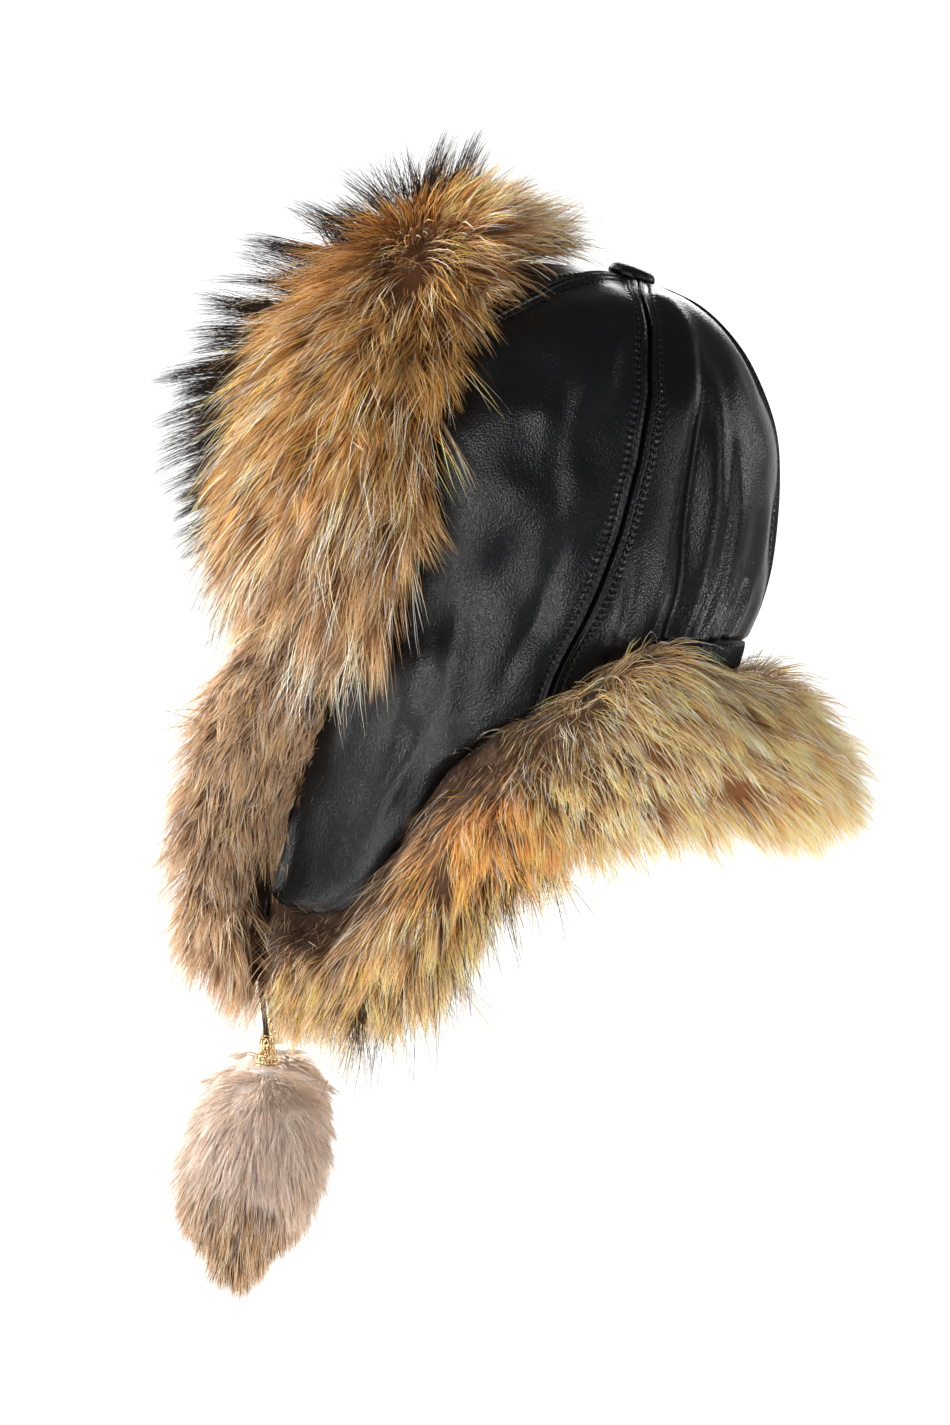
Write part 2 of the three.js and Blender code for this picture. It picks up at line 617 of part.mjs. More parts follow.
// A pompom: a soft drop with a neck that stands in the cap, and locks that hang down round it.
const pompomProfile = [
  { down: 0, radius: 0.14 },
  { down: 0.05, radius: 0.5 },
  { down: 0.18, radius: 0.87 },
  { down: 0.38, radius: 1 },
  { down: 0.6, radius: 0.94 },
  { down: 0.8, radius: 0.7 },
  { down: 0.93, radius: 0.36 },
  { down: 1, radius: 0.08 },
];
function pompom() {
  const neck = 0.3 * capRadius;
  const neckTop = capHeight - capSink - touchGap;
  const profile = [
    new THREE.Vector2(0, -pompomLength - touchGap),
    ...pompomProfile.slice().reverse().map((row) => new THREE.Vector2(
      row.radius * pompomRadius,
      -row.down * pompomLength - touchGap,
    )),
    new THREE.Vector2(neck, -touchGap),
    new THREE.Vector2(neck, neckTop),
    new THREE.Vector2(0, neckTop),
  ];
  let body = solid(new THREE.LatheGeometry(profile, 10).rotateX(Math.PI / 2));
  const [rows, columns] = [3, 7];
  for (let i = 0; i < rows; i += 1) {
    const down = 0.2 + (0.66 * i) / (rows - 1);
    const radius = along(pompomProfile, 'down', 'radius', down) * pompomRadius;
    for (let j = 0; j < columns; j += 1) {
      const angle = ((j + (i % 2) / 2) * 2 * Math.PI) / columns;
      const outward = new THREE.Vector3(Math.cos(angle), Math.sin(angle), 0);
      const root = outward.clone().multiplyScalar(0.94 * radius).setZ(-down * pompomLength);
      const flow = new THREE.Vector3(0, 0, -1).addScaledVector(outward, -0.12 * i).normalize();
      body = body.add(lock(root, outward, flow, 0.85 * lockLength, 0.8 * lockRadius));
    }
  }
  const geometry = geometryOf(mainBody(body));
  const position = geometry.attributes.position;
  for (let i = 0; i < position.count; i += 1) {
    const hang = Math.min(position.getZ(i), 0);
    position.setY(i, position.getY(i) + hang * Math.tan(THREE.MathUtils.degToRad(pompomLean)));
  }
  return geometry;
}

const flapClear = 0.6;
const leatherClear = {};
for (const [word, side] of [['left', 1], ['right', -1]]) {
  leatherClear[word] = [sidePanel(side, flapClear), backPanel(side, flapClear)].map(solid);
}
const elasticClear = solid(napeElastic(flapClear));
const frontClear = solid(frontPanel(flapClear));
const aboveLine = trimPrism(true, touchGap);
const belowLine = trimPrism(false, 0);

let visor = visorFur().intersect(aboveLine).subtract(frontClear);
for (const word of ['left', 'right']) {
  for (const clear of leatherClear[word]) visor = visor.subtract(clear);
}
add('visor_fur', geometryOf(mainBody(visor)), 'frontFur');

// The nape's fur ends at the flap's in a plane square to the band, a small gap away.
const joinGap = touchGap / (furReach * 6);
let napeFur = bandSolid(napeJoin + joinGap, 2 - napeJoin - joinGap, 8);
for (const [word, side] of [['left', 1], ['right', -1]]) {
  let fur = side > 0 ? bandSolid(0, napeJoin, 11) : bandSolid(2 - napeJoin, 2, 11);
  for (const tuft of bandLocks(side, 0.06, napeJoin - 0.04, 6)) fur = fur.add(tuft);
  fur = fur.add(flapLining(side)).intersect(belowLine);
  for (const tuft of bandLocks(side, napeJoin + 0.04, 1, 3)) napeFur = napeFur.add(tuft);
  for (const clear of leatherClear[word]) {
    fur = fur.subtract(clear);
    napeFur = napeFur.subtract(clear);
  }
  fur = fur.subtract(elasticClear).subtract(tieGroove(word, side)).subtract(pompomRoom(word, side));
  add(`flap_fur_${word}`, geometryOf(mainBody(fur)), 'flapFur');
}
add('nape_fur', geometryOf(mainBody(napeFur.subtract(elasticClear))), 'flapFur');

for (const [word, side] of [['left', 1], ['right', -1]]) {
  const points = cordPoints(word, side);
  add(`tie_cord_${word}`, geometryOf(solid(tieCord(points))), 'leather');
  const end = points.at(-1);
  const hung = new THREE.Group();
  hung.position.set(end.x, end.y, end.z + capSink);
  hat.add(hung);
  const cap = new THREE.Mesh(beadCap(), new THREE.MeshStandardMaterial(colours.gold));
  cap.name = `bead_cap_${word}`;
  hung.add(cap);
  const ball = new THREE.Mesh(pompom(), new THREE.MeshStandardMaterial(colours.pompomFur));
  ball.name = `pompom_${word}`;
  ball.position.z = -capHeight;
  hung.add(ball);
}

export default hat;
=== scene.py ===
# Ushanka: black leather crown and flaps, long fur visor, flap and nape fur, laces, gold caps, pompoms.
# Shapes are worked out in millimetres and go into the meshes in metres.
import json
import math

import bmesh
import bpy
import numpy as np
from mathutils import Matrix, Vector

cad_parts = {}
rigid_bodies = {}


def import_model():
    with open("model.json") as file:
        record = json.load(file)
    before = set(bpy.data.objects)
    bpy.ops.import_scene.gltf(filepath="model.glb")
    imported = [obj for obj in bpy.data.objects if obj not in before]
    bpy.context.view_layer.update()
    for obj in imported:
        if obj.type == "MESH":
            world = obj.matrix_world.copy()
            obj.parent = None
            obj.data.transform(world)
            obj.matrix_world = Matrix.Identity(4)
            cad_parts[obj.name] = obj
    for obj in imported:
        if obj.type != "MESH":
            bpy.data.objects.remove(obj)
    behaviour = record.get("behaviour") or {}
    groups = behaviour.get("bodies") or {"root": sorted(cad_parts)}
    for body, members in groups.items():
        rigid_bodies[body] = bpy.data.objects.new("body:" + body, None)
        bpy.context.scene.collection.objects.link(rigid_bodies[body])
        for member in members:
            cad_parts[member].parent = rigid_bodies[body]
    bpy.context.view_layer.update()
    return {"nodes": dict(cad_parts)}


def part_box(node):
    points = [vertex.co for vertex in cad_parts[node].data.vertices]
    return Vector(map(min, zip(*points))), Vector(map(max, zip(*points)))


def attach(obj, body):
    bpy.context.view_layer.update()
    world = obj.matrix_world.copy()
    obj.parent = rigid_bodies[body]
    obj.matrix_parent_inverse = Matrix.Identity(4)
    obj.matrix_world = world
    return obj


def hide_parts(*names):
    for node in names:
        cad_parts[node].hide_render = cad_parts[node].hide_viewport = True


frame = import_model()
print("frame loaded:", len(frame["nodes"]), "nodes")
toMetres = 0.001

# Camera: long lens at the hat's left side, a little behind and above it.
shot = {
    "azimuth": 93.0,
    "elevation": 2.5,
    "distance": 3.4,
    "aimY": -0.0264,
    "aimZ": -0.0511,
    "frameHeight": 0.6477,
    "sensor": 24.0,
}


def placeCamera():
    turn, lift = math.radians(shot["azimuth"]), math.radians(shot["elevation"])
    back = Vector((math.sin(turn) * math.cos(lift), -math.cos(turn) * math.cos(lift), math.sin(lift)))
    aim = Vector((0, shot["aimY"], shot["aimZ"]))
    data = bpy.data.cameras.new("camera")
    data.sensor_fit = "VERTICAL"
    data.sensor_height = shot["sensor"]
    data.lens = shot["sensor"] * shot["distance"] / shot["frameHeight"]
    data.clip_end = 50
    camera = bpy.data.objects.new("camera", data)
    bpy.context.scene.collection.objects.link(camera)
    camera.location = aim + back * shot["distance"]
    camera.rotation_euler = back.to_track_quat("Z", "Y").to_euler()
    bpy.context.scene.camera = camera


placeCamera()

# The hat's form, in the shares that the solids use. Rings run from the button down to the fur's hem.
form = {"length": 206.0, "width": 178.0, "height": 153.0, "drop": 140.0, "wall": 2.0, "power": 2.2}
# front, front rise, back, back rise, half width
crownRings = np.array([
    [0.187, 0.963, 0.241, 0.937, 0.062],
    [0.049, 1.0, 0.369, 0.863, 0.45],
    [-0.121, 0.967, 0.466, 0.725, 0.72],
    [-0.301, 0.797, 0.524, 0.536, 0.9],
    [-0.413, 0.556, 0.538, 0.353, 0.975],
    [-0.466, 0.294, 0.531, 0.163, 1.0],
    [-0.485, 0.0, 0.5, 0.0, 0.99],
])
# drop, front, back, half width
skirtRings = np.array([
    [0.214, -0.519, 0.442, 0.978],
    [0.429, -0.573, 0.427, 0.955],
    [0.714, -0.665, 0.354, 0.9],
    [1.0, -0.752, 0.277, 0.82],
    [1.357, -0.83, 0.194, 0.76],
])
ringColumns = {
    "frontY": np.concatenate([crownRings[:, 0], skirtRings[:, 1]]) * form["length"],
    "frontZ": np.concatenate([crownRings[:, 1] * form["height"], -skirtRings[:, 0] * form["drop"]]),
    "backY": np.concatenate([crownRings[:, 2], skirtRings[:, 2]]) * form["length"],
    "backZ": np.concatenate([crownRings[:, 3] * form["height"], -skirtRings[:, 0] * form["drop"]]),
    "half": np.concatenate([crownRings[:, 4], skirtRings[:, 3]]) * form["width"] / 2,
}
bandRing, hemRing, tipRing = 6.0, 9.5, 10.0
# ring, share across from the front outline (-1) to the back outline (1)
frontSeam = np.array([
    [0, -0.45], [1, -0.46], [2, -0.5], [3, -0.66], [4, -0.74], [6, -0.8], [8, -0.796],
    [9, -0.743], [9.72, -0.695], [9.88, -0.6], [10, -0.43],
])
sideSeam = np.array([
    [0, 0.3], [1, 0.18], [2, 0.31], [3, 0.38], [4, 0.385], [5, 0.346], [6, 0.278], [7.62, 0.2],
    [7.85, 0.02], [8.4, -0.145], [9, -0.185], [9.7, -0.225], [9.88, -0.29], [10, -0.37],
])
seamEnd = 7.62
# share across, ring
backHem = np.array([[0.2, 7.62], [0.3, 7.5], [0.5, 7.05], [0.61, 6.6], [1, 6.6]])
# from ring, to ring, start across, end across, width, height
folds = np.array([
    [1.0, 4.2, 0.5, 0.72, 0.09, 3.2],
    [2.6, 7.0, 0.66, 0.7, 0.07, -5.5],
    [3.2, 7.0, 0.84, 0.84, 0.08, 2.6],
    [4.4, 7.0, 0.93, 0.92, 0.05, -2.6],
    [3.6, 8.2, -0.3, -0.2, 0.3, -2.4],
    [7.4, 9.8, -0.42, -0.5, 0.2, -2.2],
    [1.2, 2.6, -0.2, -0.1, 0.2, -1.8],
])


def ringValue(column, v):
    # A cubic through each pair of rings, with slopes taken from the rings on either side.
    values = ringColumns[column]
    last = len(values) - 1
    i = np.clip(np.floor(v).astype(int), 0, last - 1)
    u = v - i
    p = [values[np.clip(i + k, 0, last)] for k in (-1, 0, 1, 2)]
    slopeIn, slopeOut = (p[2] - p[0]) / 2, (p[3] - p[1]) / 2
    u2, u3 = u * u, u * u * u
    return ((2 * u3 - 3 * u2 + 1) * p[1] + (u3 - 2 * u2 + u) * slopeIn
            + (3 * u2 - 2 * u3) * p[2] + (u3 - u2) * slopeOut)


def signedPower(x, p):
    return np.sign(x) * np.abs(x) ** p


def turnOf(across):
    return np.arcsin(np.clip(signedPower(across, form["power"] / 2), -1, 1))


def acrossOf(turn):
    return signedPower(np.sin(turn), 2 / form["power"])


def plainPoint(turn, v):
    # An oval through the ring's front and back points, squarer than an ellipse.
    turn, v = np.broadcast_arrays(np.asarray(turn, float), np.asarray(v, float))
    s, c = acrossOf(turn), signedPower(np.cos(turn), 2 / form["power"])
    fy, fz = ringValue("frontY", v), ringValue("frontZ", v)
    by, bz = ringValue("backY", v), ringValue("backZ", v)
    return np.stack([ringValue("half", v) * c, (fy + by) / 2 + (by - fy) / 2 * s,
                     (fz + bz) / 2 + (bz - fz) / 2 * s], axis=-1)


def unit(a):
    return a / np.maximum(np.linalg.norm(a, axis=-1, keepdims=True), 1e-9)


def normalAt(turn, v):
    step = 0.02
    turn, v = np.broadcast_arrays(np.asarray(turn, float), np.asarray(v, float))
    around = plainPoint(turn + step, v) - plainPoint(turn - step, v)
    down = plainPoint(turn, v + step) - plainPoint(turn, v - step)
    return unit(np.cross(down, around))


def foldHeight(turn, v, table=folds, power=1.0):
    # A fold is a bell curve about its line across, by a sine from its first ring to its last.
    s = acrossOf(turn)
    total = np.zeros(np.broadcast(s, v).shape)
    for start, end, atStart, atEnd, width, height in table:
        u = np.clip((v - start) / (end - start), 0, 1)
        line = atStart + (atEnd - atStart) * u
        total = total + height * np.sin(np.pi * u) ** power * bell(s, line, width)
    return total


def smooth(low, high, x):
    u = np.clip((x - low) / (high - low), 0, 1)
    return u * u * (3 - 2 * u)


def bell(x, centre, width, power=2):
    return np.exp(-((x - centre) / width) ** power)


def mixed(first, second, share):
    return first * (1 - share) + second * share


def circle(count):
    return np.linspace(0, 2 * np.pi, count, endpoint=False)


def noise3(p, size, seed):
    # Smooth noise from -1 to 1: random values on a lattice, blended by cubic weights.
    table = np.random.default_rng(seed).uniform(-1, 1, (32, 32, 32))
    q = np.asarray(p) / size
    base = np.floor(q).astype(int)
    f = q - base
    f = f ** 3 * (f * (6 * f - 15) + 10)
    total = 0
    for corner in range(8):
        bits = np.array([corner & 1, corner >> 1 & 1, corner >> 2 & 1])
        weight = np.prod(np.where(bits, f, 1 - f), axis=-1)
        cell = (base + bits) % 32
        total = total + weight * table[cell[..., 0], cell[..., 1], cell[..., 2]]
    return total


# Meshes
def makeObject(name, points, loops, sizes, material, smoothShade=True):
    mesh = bpy.data.meshes.new(name)
    mesh.vertices.add(len(points))
    mesh.vertices.foreach_set("co", (np.asarray(points) * toMetres).astype(np.float32).ravel())
    mesh.loops.add(len(loops))
    mesh.loops.foreach_set("vertex_index", np.asarray(loops, np.int32))
    mesh.polygons.add(len(sizes))
    starts = np.concatenate([[0], np.cumsum(sizes)[:-1]]).astype(np.int32)
    mesh.polygons.foreach_set("loop_start", starts)
    mesh.polygons.foreach_set("loop_total", np.asarray(sizes, np.int32))
    mesh.polygons.foreach_set("use_smooth", np.full(len(sizes), smoothShade))
    mesh.update(calc_edges=True)
    mesh.validate()
    mesh.materials.append(material)
    piece = bpy.data.objects.new(name, mesh)
    bpy.context.scene.collection.objects.link(piece)
    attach(piece, "root")
    return piece


def quadObject(name, points, faces, material):
    return makeObject(name, points.reshape(-1, 3), faces.ravel(), np.full(len(faces), 4), material)


def setTone(piece, tones):
    attribute = piece.data.color_attributes.new("tone", "FLOAT_COLOR", "POINT")
    rgba = np.ones((len(tones), 4), np.float32)
    rgba[:, :3] = tones
    attribute.data.foreach_set("color", rgba.ravel())


def gridFaces(rows, columns, offset=0, flip=False):
    i, j = np.meshgrid(np.arange(rows - 1), np.arange(columns - 1), indexing="ij")
    a = (i * columns + j).ravel() + offset
    quads = np.stack([a, a + 1, a + columns + 1, a + columns], axis=1)
    return quads[:, ::-1] if flip else quads


def shell(name, outer, inner, material, flip=False, step=1):
    # Two grids of the same shape, one inside the other, joined round their rims. With a step above 1 the
    # inner grid keeps only every so many rows and columns, and the wall has points of its own.
    rows, columns = outer.shape[:2]
    count = rows * columns
    index = np.arange(count).reshape(rows, columns)
    rim = np.concatenate([index[0, :-1], index[:-1, -1], index[-1, :0:-1], index[:0:-1, 0]])
    pick = [np.unique(np.append(np.arange(0, n, step), n - 1)) for n in (rows, columns)]
    sparse = inner[np.ix_(*pick)]
    parts, low = [outer.reshape(-1, 3), sparse.reshape(-1, 3)], rim + count
    if step > 1:
        low = count + len(parts[1]) + np.arange(len(rim))
        parts.append(inner.reshape(-1, 3)[rim])
    wall = np.stack([rim, low, np.roll(low, -1), np.roll(rim, -1)], axis=1)
    faces = np.concatenate([gridFaces(rows, columns), gridFaces(*sparse.shape[:2], count, True), wall])
    if flip:
        faces = faces[:, ::-1]
    return quadObject(name, np.concatenate(parts), faces, material)


def ringQuads(count, around, closed=False):
    # Quads between neighbouring rings, and from the last ring back to the first where the tube is closed.
    i, j = np.meshgrid(np.arange(count - (not closed)), np.arange(around), indexing="ij")
    ring, nextRing, after = i * around, (i + 1) % count * around, (j + 1) % around
    return np.stack([ring + j, ring + after, nextRing + after, nextRing + j], axis=-1).reshape(-1, 4)


def ringsRound(path, along, normal, radius, around):
    # Rings of points square to a path.
    first = unit(np.cross(along, normal))
    second = np.cross(along, first)
    angle = circle(around)
    return path[:, None] + radius * (np.cos(angle)[None, :, None] * first[:, None]
                                     + np.sin(angle)[None, :, None] * second[:, None])


def closedTube(name, rings, ends, material):
    # Rings of points, closed by a point at each end.
    count, around = rings.shape[:2]
    k, last = np.arange(around), (count - 1) * around
    after, quads = (k + 1) % around, ringQuads(count, around)
    low = np.stack([0 * k + count * around, after, k], axis=1)
    high = np.stack([0 * k + count * around + 1, last + k, last + after], axis=1)
    loops = np.concatenate([quads.ravel(), low.ravel(), high.ravel()])
    return makeObject(name, np.concatenate([rings.reshape(-1, 3), ends]), loops,
                      np.repeat([4, 3], [len(quads), 2 * around]), material)


def weldSeams(piece):
    # Merges the poles and the closing column, and turns the faces outwards.
    work = bmesh.new()
    work.from_mesh(piece.data)
    bmesh.ops.remove_doubles(work, verts=work.verts, dist=2e-6)
    bmesh.ops.recalc_face_normals(work, faces=work.faces)
    work.to_mesh(piece.data)
    work.free()


# Materials
leather = {"groove": 1.2, "grooveWidth": 0.4, "ridge": 0.95, "ridgeAt": 1.35, "ridgeWidth": 0.65,
           "welt": 0.35, "stitchAt": 4.7, "dip": 0.45, "pitch": 3.3, "hemRoll": 1.3}


def newMaterial(name):
    material = bpy.data.materials.new(name)
    material.use_nodes = True
    tree = material.node_tree
    return material, tree, tree.nodes["Principled BSDF"]


def newGroup(name, inputs, outputs):
    group = bpy.data.node_groups.new(name, "ShaderNodeTree")
    for way, sockets in (("INPUT", inputs), ("OUTPUT", outputs)):
        for socket in sockets:
            group.interface.new_socket(socket, in_out=way, socket_type="NodeSocketFloat")
    return group


def feed(tree, node, inputs):
    # Each input takes either a value or the socket that feeds it.
    for name, given in inputs.items():
        if isinstance(given, bpy.types.NodeSocket):
            tree.links.new(given, node.inputs[name])
        else:
            node.inputs[name].default_value = given


def addNode(tree, kind, output, inputs):
    node = tree.nodes.new("ShaderNode" + kind)
    feed(tree, node, inputs)
    return node.outputs[output]


def mathNode(tree, operation, *inputs):
    node = tree.nodes.new("ShaderNodeMath")
    node.operation = operation
    feed(tree, node, dict(enumerate(inputs)))
    return node.outputs["Value"]


def groupNode(tree, group, inputs):
    node = tree.nodes.new("ShaderNodeGroup")
    node.node_tree = group
    feed(tree, node, inputs)
    return node.outputs


def tintNode(tree, factor, low, high, start=0.0, end=1.0):
    node = tree.nodes.new("ShaderNodeValToRGB")
    for element, place, colour in zip(node.color_ramp.elements, (start, end), (low, high)):
        element.position = place
        element.color = (*colour, 1)
    feed(tree, node, {"Fac": factor})
    return node.outputs["Color"]


def grainGroup():
    # Leather grain: fine cells for pebbles and broad noise for wear. Puts out a height and a mask.
    group = newGroup("leatherGrain", ["Scale"], ["Height", "Wear"])
    scale = group.nodes.new("NodeGroupInput").outputs["Scale"]
    spot = addNode(group, "TexCoord", "Object", {})
    cells = addNode(group, "TexVoronoi", "Distance", {"Vector": spot, "Scale": scale, "Randomness": 0.9})
    pits = addNode(group, "TexNoise", "Fac", {"Vector": spot, "Scale": scale, "Detail": 4})
    wear = addNode(group, "TexNoise", "Fac", {"Vector": spot, "Scale": 22, "Detail": 3})
    height = mathNode(group, "MULTIPLY_ADD", cells, 0.7, pits)
    feed(group, group.nodes.new("NodeGroupOutput"), {"Height": height, "Wear": wear})
    return group


def stitchGroup():
    # The stitch line's relief in millimetres, from the map of distance to the seam and length along it: a dip
    # at the line's distance, a pucker outside it and a soft edge by the seam. Each is a bell curve that beats
    # with the stitches.
    group = newGroup("stitchLine", [], ["Height"])
    seam, split = group.nodes.new("ShaderNodeUVMap"), group.nodes.new("ShaderNodeSeparateXYZ")
    seam.uv_map = "seam"
    feed(group, split, {"Vector": seam.outputs["UV"]})
    beat = mathNode(group, "MULTIPLY", split.outputs["Y"], 2 * math.pi / leather["pitch"])
    beat, total = mathNode(group, "COSINE", beat), 0.0
    # distance, width, beat, steady height
    for centre, width, swing, steady in ((leather["stitchAt"], 0.75, -0.36, -0.5), (6.3, 0.9, -0.16, 0.0),
                                         (1.6, 0.7, 0.08, 0.22)):
        away = mathNode(group, "SUBTRACT", split.outputs["X"], centre)
        away = mathNode(group, "MULTIPLY", away, 1 / width)
        away = mathNode(group, "MULTIPLY", mathNode(group, "MULTIPLY", away, away), -1.0)
        part = mathNode(group, "MULTIPLY_ADD", beat, swing, steady)
        part = mathNode(group, "MULTIPLY", mathNode(group, "EXPONENT", away), part)
        total = mathNode(group, "ADD", total, part)
    feed(group, group.nodes.new("NodeGroupOutput"), {"Height": total})
    return group


grain, stitchRelief = grainGroup(), stitchGroup()


def leatherMaterial(name, tone, scale, rough, bump):
    material, tree, shader = newMaterial(name)
    texture = groupNode(tree, grain, {"Scale": scale})
    wear, height = texture["Wear"], texture["Height"]
    roughness = addNode(tree, "MapRange", "Result", {"Value": wear, "From Min": 0.1, "From Max": 0.9,
                                                     "To Min": rough - 0.07, "To Max": rough + 0.07})
    tint = tintNode(tree, wear, [c * 0.75 for c in tone], [c * 1.35 for c in tone], 0.1, 0.9)
    relief = addNode(tree, "Bump", "Normal", {"Height": height, "Strength": bump, "Distance": 0.00017})
    seamLine = groupNode(tree, stitchRelief, {})["Height"]
    seamBump = addNode(tree, "Bump", "Normal", {"Height": seamLine, "Normal": relief, "Strength": 1.0,
                                                "Distance": toMetres})
    feed(tree, shader, {"Roughness": roughness, "Base Color": tint, "Normal": seamBump,
                        "Specular IOR Level": 0.4})
    return material


def furMaterial(name, rough, sheen):
    material, tree, shader = newMaterial(name)
    tone = tree.nodes.new("ShaderNodeAttribute")
    tone.attribute_name = "tone"
    feed(tree, shader, {"Base Color": tone.outputs["Color"], "Roughness": rough, "Specular IOR Level": 0.08,
                        "Sheen Weight": sheen})
    return material


def threadMaterial():
    material, tree, shader = newMaterial("blackThread")
    spot = addNode(tree, "TexCoord", "Object", {})
    twist = addNode(tree, "TexWave", "Fac", {"Vector": spot, "Scale": 900})
    relief = addNode(tree, "Bump", "Normal", {"Height": twist, "Strength": 0.4, "Distance": 0.0002})
    feed(tree, shader, {"Normal": relief, "Base Color": (0.008, 0.008, 0.01, 1), "Roughness": 0.5})
    return material


def goldMaterial():
    material, tree, shader = newMaterial("goldMetal")
    spot = addNode(tree, "TexCoord", "Object", {})
    dull = addNode(tree, "TexNoise", "Fac", {"Vector": spot, "Scale": 400})
    roughness = addNode(tree, "MapRange", "Result", {"Value": dull, "To Min": 0.16, "To Max": 0.36})
    tint = tintNode(tree, dull, (0.62, 0.4, 0.15), (0.95, 0.78, 0.48))
    feed(tree, shader, {"Roughness": roughness, "Base Color": tint, "Metallic": 1.0})
    return material


blackLeather = leatherMaterial("blackLeather", (0.0028, 0.0032, 0.004), 1050, 0.3, 1.0)
laceLeather = leatherMaterial("laceLeather", (0.014, 0.013, 0.013), 1500, 0.45, 0.3)
underFur = furMaterial("underFur", 0.75, 0.3)
guardFur = furMaterial("guardFur", 0.5, 0.05)
blackThread = threadMaterial()
goldMetal = goldMaterial()
print("materials made")

# Ties: the laces' own points, as the solids have them.
tie = {"diameter": 2.4, "length": 68.0, "swing": {"left": 0.0, "right": -7.0}, "drop": -1.8, "forward": 0.3}
tieSway = np.array([0, -0.5, -1.1, -1.8, -2.4, -2.9, -3.3, -3.5,
                    -3.4, -3.1, -2.7, -2.1, -1.6, -1.1, -0.7, -0.5])


def hatPoint(turn, v, out=0.0):
    lift = np.asarray(out + foldHeight(turn, v))
    return plainPoint(turn, v) + normalAt(turn, v) * lift[..., None]


cornerTurn, cornerRing = turnOf(np.array(frontSeam[-3, 1])), np.array(frontSeam[-3, 0])
tieTop = hatPoint(cornerTurn, cornerRing, -form["wall"] / 2)
tieTop = tieTop + np.array([0, tie["forward"] * tie["diameter"], tie["drop"]])


def lacePoints(word, side):
    u = np.linspace(0, 1, len(tieSway))
    y = tieTop[1] + tieSway + tie["swing"][word] * smooth(0, 1, u)
    return np.stack([np.full(len(u), side * tieTop[0]), y, tieTop[2] - tie["length"] * u], axis=1)


sides = {"left": 1, "right": -1}
laces = {}
for word, side in sides.items():
    path = lacePoints(word, side)
    rings = ringsRound(path, unit(np.gradient(path, axis=0)), np.array([1.0, 0, 0]), tie["diameter"] / 2, 12)
    lace = closedTube(f"lace_{word}", rings, path[[0, -1]], laceLeather)
    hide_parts(f"tie_cord_{word}")
    laces[word] = (lace, path)
print("laces made")

# Leather. Each panel is a grid between two seam lines. A seam's groove, ridge, welt and stitch line are
# heights worked out from the distance to the seam. The creases are sharper than the solids have them: from
# ring, to ring, start across, end across, width, height.
creases = np.array([
    [2.0, 7.2, 0.63, 0.66, 0.03, -3.2], [2.2, 6.9, 0.72, 0.735, 0.035, 2.2],
    [3.2, 7.3, 0.79, 0.79, 0.022, -1.8], [4.4, 7.3, 0.6, 0.585, 0.022, -1.5],
    [5.2, 7.4, 0.86, 0.87, 0.018, -1.6], [5.4, 7.4, 0.72, 0.71, 0.014, -1.3],
    [5.6, 7.4, 0.93, 0.94, 0.014, -1.2], [1.1, 3.0, 0.36, 0.5, 0.05, -1.6],
    [1.6, 3.4, 0.06, 0.2, 0.05, 1.1], [2.4, 5.6, -0.06, 0.1, 0.05, -1.0],
    [4.8, 7.6, 0.12, -0.02, 0.045, -1.1], [5.4, 8.2, -0.34, -0.2, 0.06, 1.3],
    [6.2, 8.6, -0.5, -0.42, 0.05, -1.1], [5.2, 7.0, 0.42, 0.46, 0.03, -1.2],
    [7.4, 9.4, -0.3, -0.36, 0.05, 0.9],
])


def seamRelief(distance):
    # A groove, a narrow ridge beside it, a flat welt, and a dip along the stitch line.
    groove = leather["groove"] * bell(distance, 0, leather["grooveWidth"])
    ridge = leather["ridge"] * bell(distance, leather["ridgeAt"], leather["ridgeWidth"])
    welt = leather["welt"] * (1 - smooth(leather["stitchAt"], leather["stitchAt"] + 2.2, distance))
    dip = leather["dip"] * bell(distance, leather["stitchAt"], 0.7)
    return ridge + welt - groove - dip


def wrinkles(points, strength):
    # Broad soft dents and finer creases that run down the panel.
    broad = noise3(points * np.array([1, 1, 0.9]), 34, 3) * 2.9
    middle = noise3(points @ np.array([[1, 0, 0], [0, 0.8, 0.6], [0, -0.5, 0.7]]) + 11, 20, 4) * 1.5
    fine = noise3(points * np.array([1, 1.2, 0.7]) + 5, 13, 5) * 0.25
    return (broad + middle + fine) * strength


def hemRelief(distance):
    # The edge rolls down towards the hem.
    return -leather["hemRoll"] * bell(distance, 0, 1.6)


def runOf(points):
    # Length down a grid's columns, or along a path, from its first point.
    steps = np.linalg.norm(np.diff(points, axis=0), axis=-1)
    return np.concatenate([np.zeros_like(steps[:1]), np.cumsum(steps, axis=0)])


stitchRows = []


def keepStitches(base, normal, height, column, keep, mirror):
    # The stitches beside one seam: points at the stitch line's distance, and the leather's normals there.
    distance = np.linalg.norm(base - base[:, [column]], axis=-1)
    order = np.arange(base.shape[1])[::1 if column == 0 else -1]
    lifted = (base + normal * height[..., None])[:, order]
    path = [[np.interp(leather["stitchAt"], d, c) for d, c in zip(distance[:, order], lifted[..., axis])]
            for axis in range(3)]
    if keep.sum() > 4:
        stitchRows.append((np.stack(path, axis=1)[keep] * mirror, normal[keep, column] * mirror))

def gatherHeight(turn, v):
    # Small upright folds above the elastic, of uneven width, that fade out upwards.
    s = acrossOf(turn)
    beat = np.sin(88 * s + 2.2 * np.sin(13 * s)) + 0.5 * np.sin(51 * s + 1.3)
    return 1.25 * beat * smooth(4.9, 6.5, v) * smooth(0.56, 0.66, s) * (0.7 + 0.3 * np.sin(23 * s))


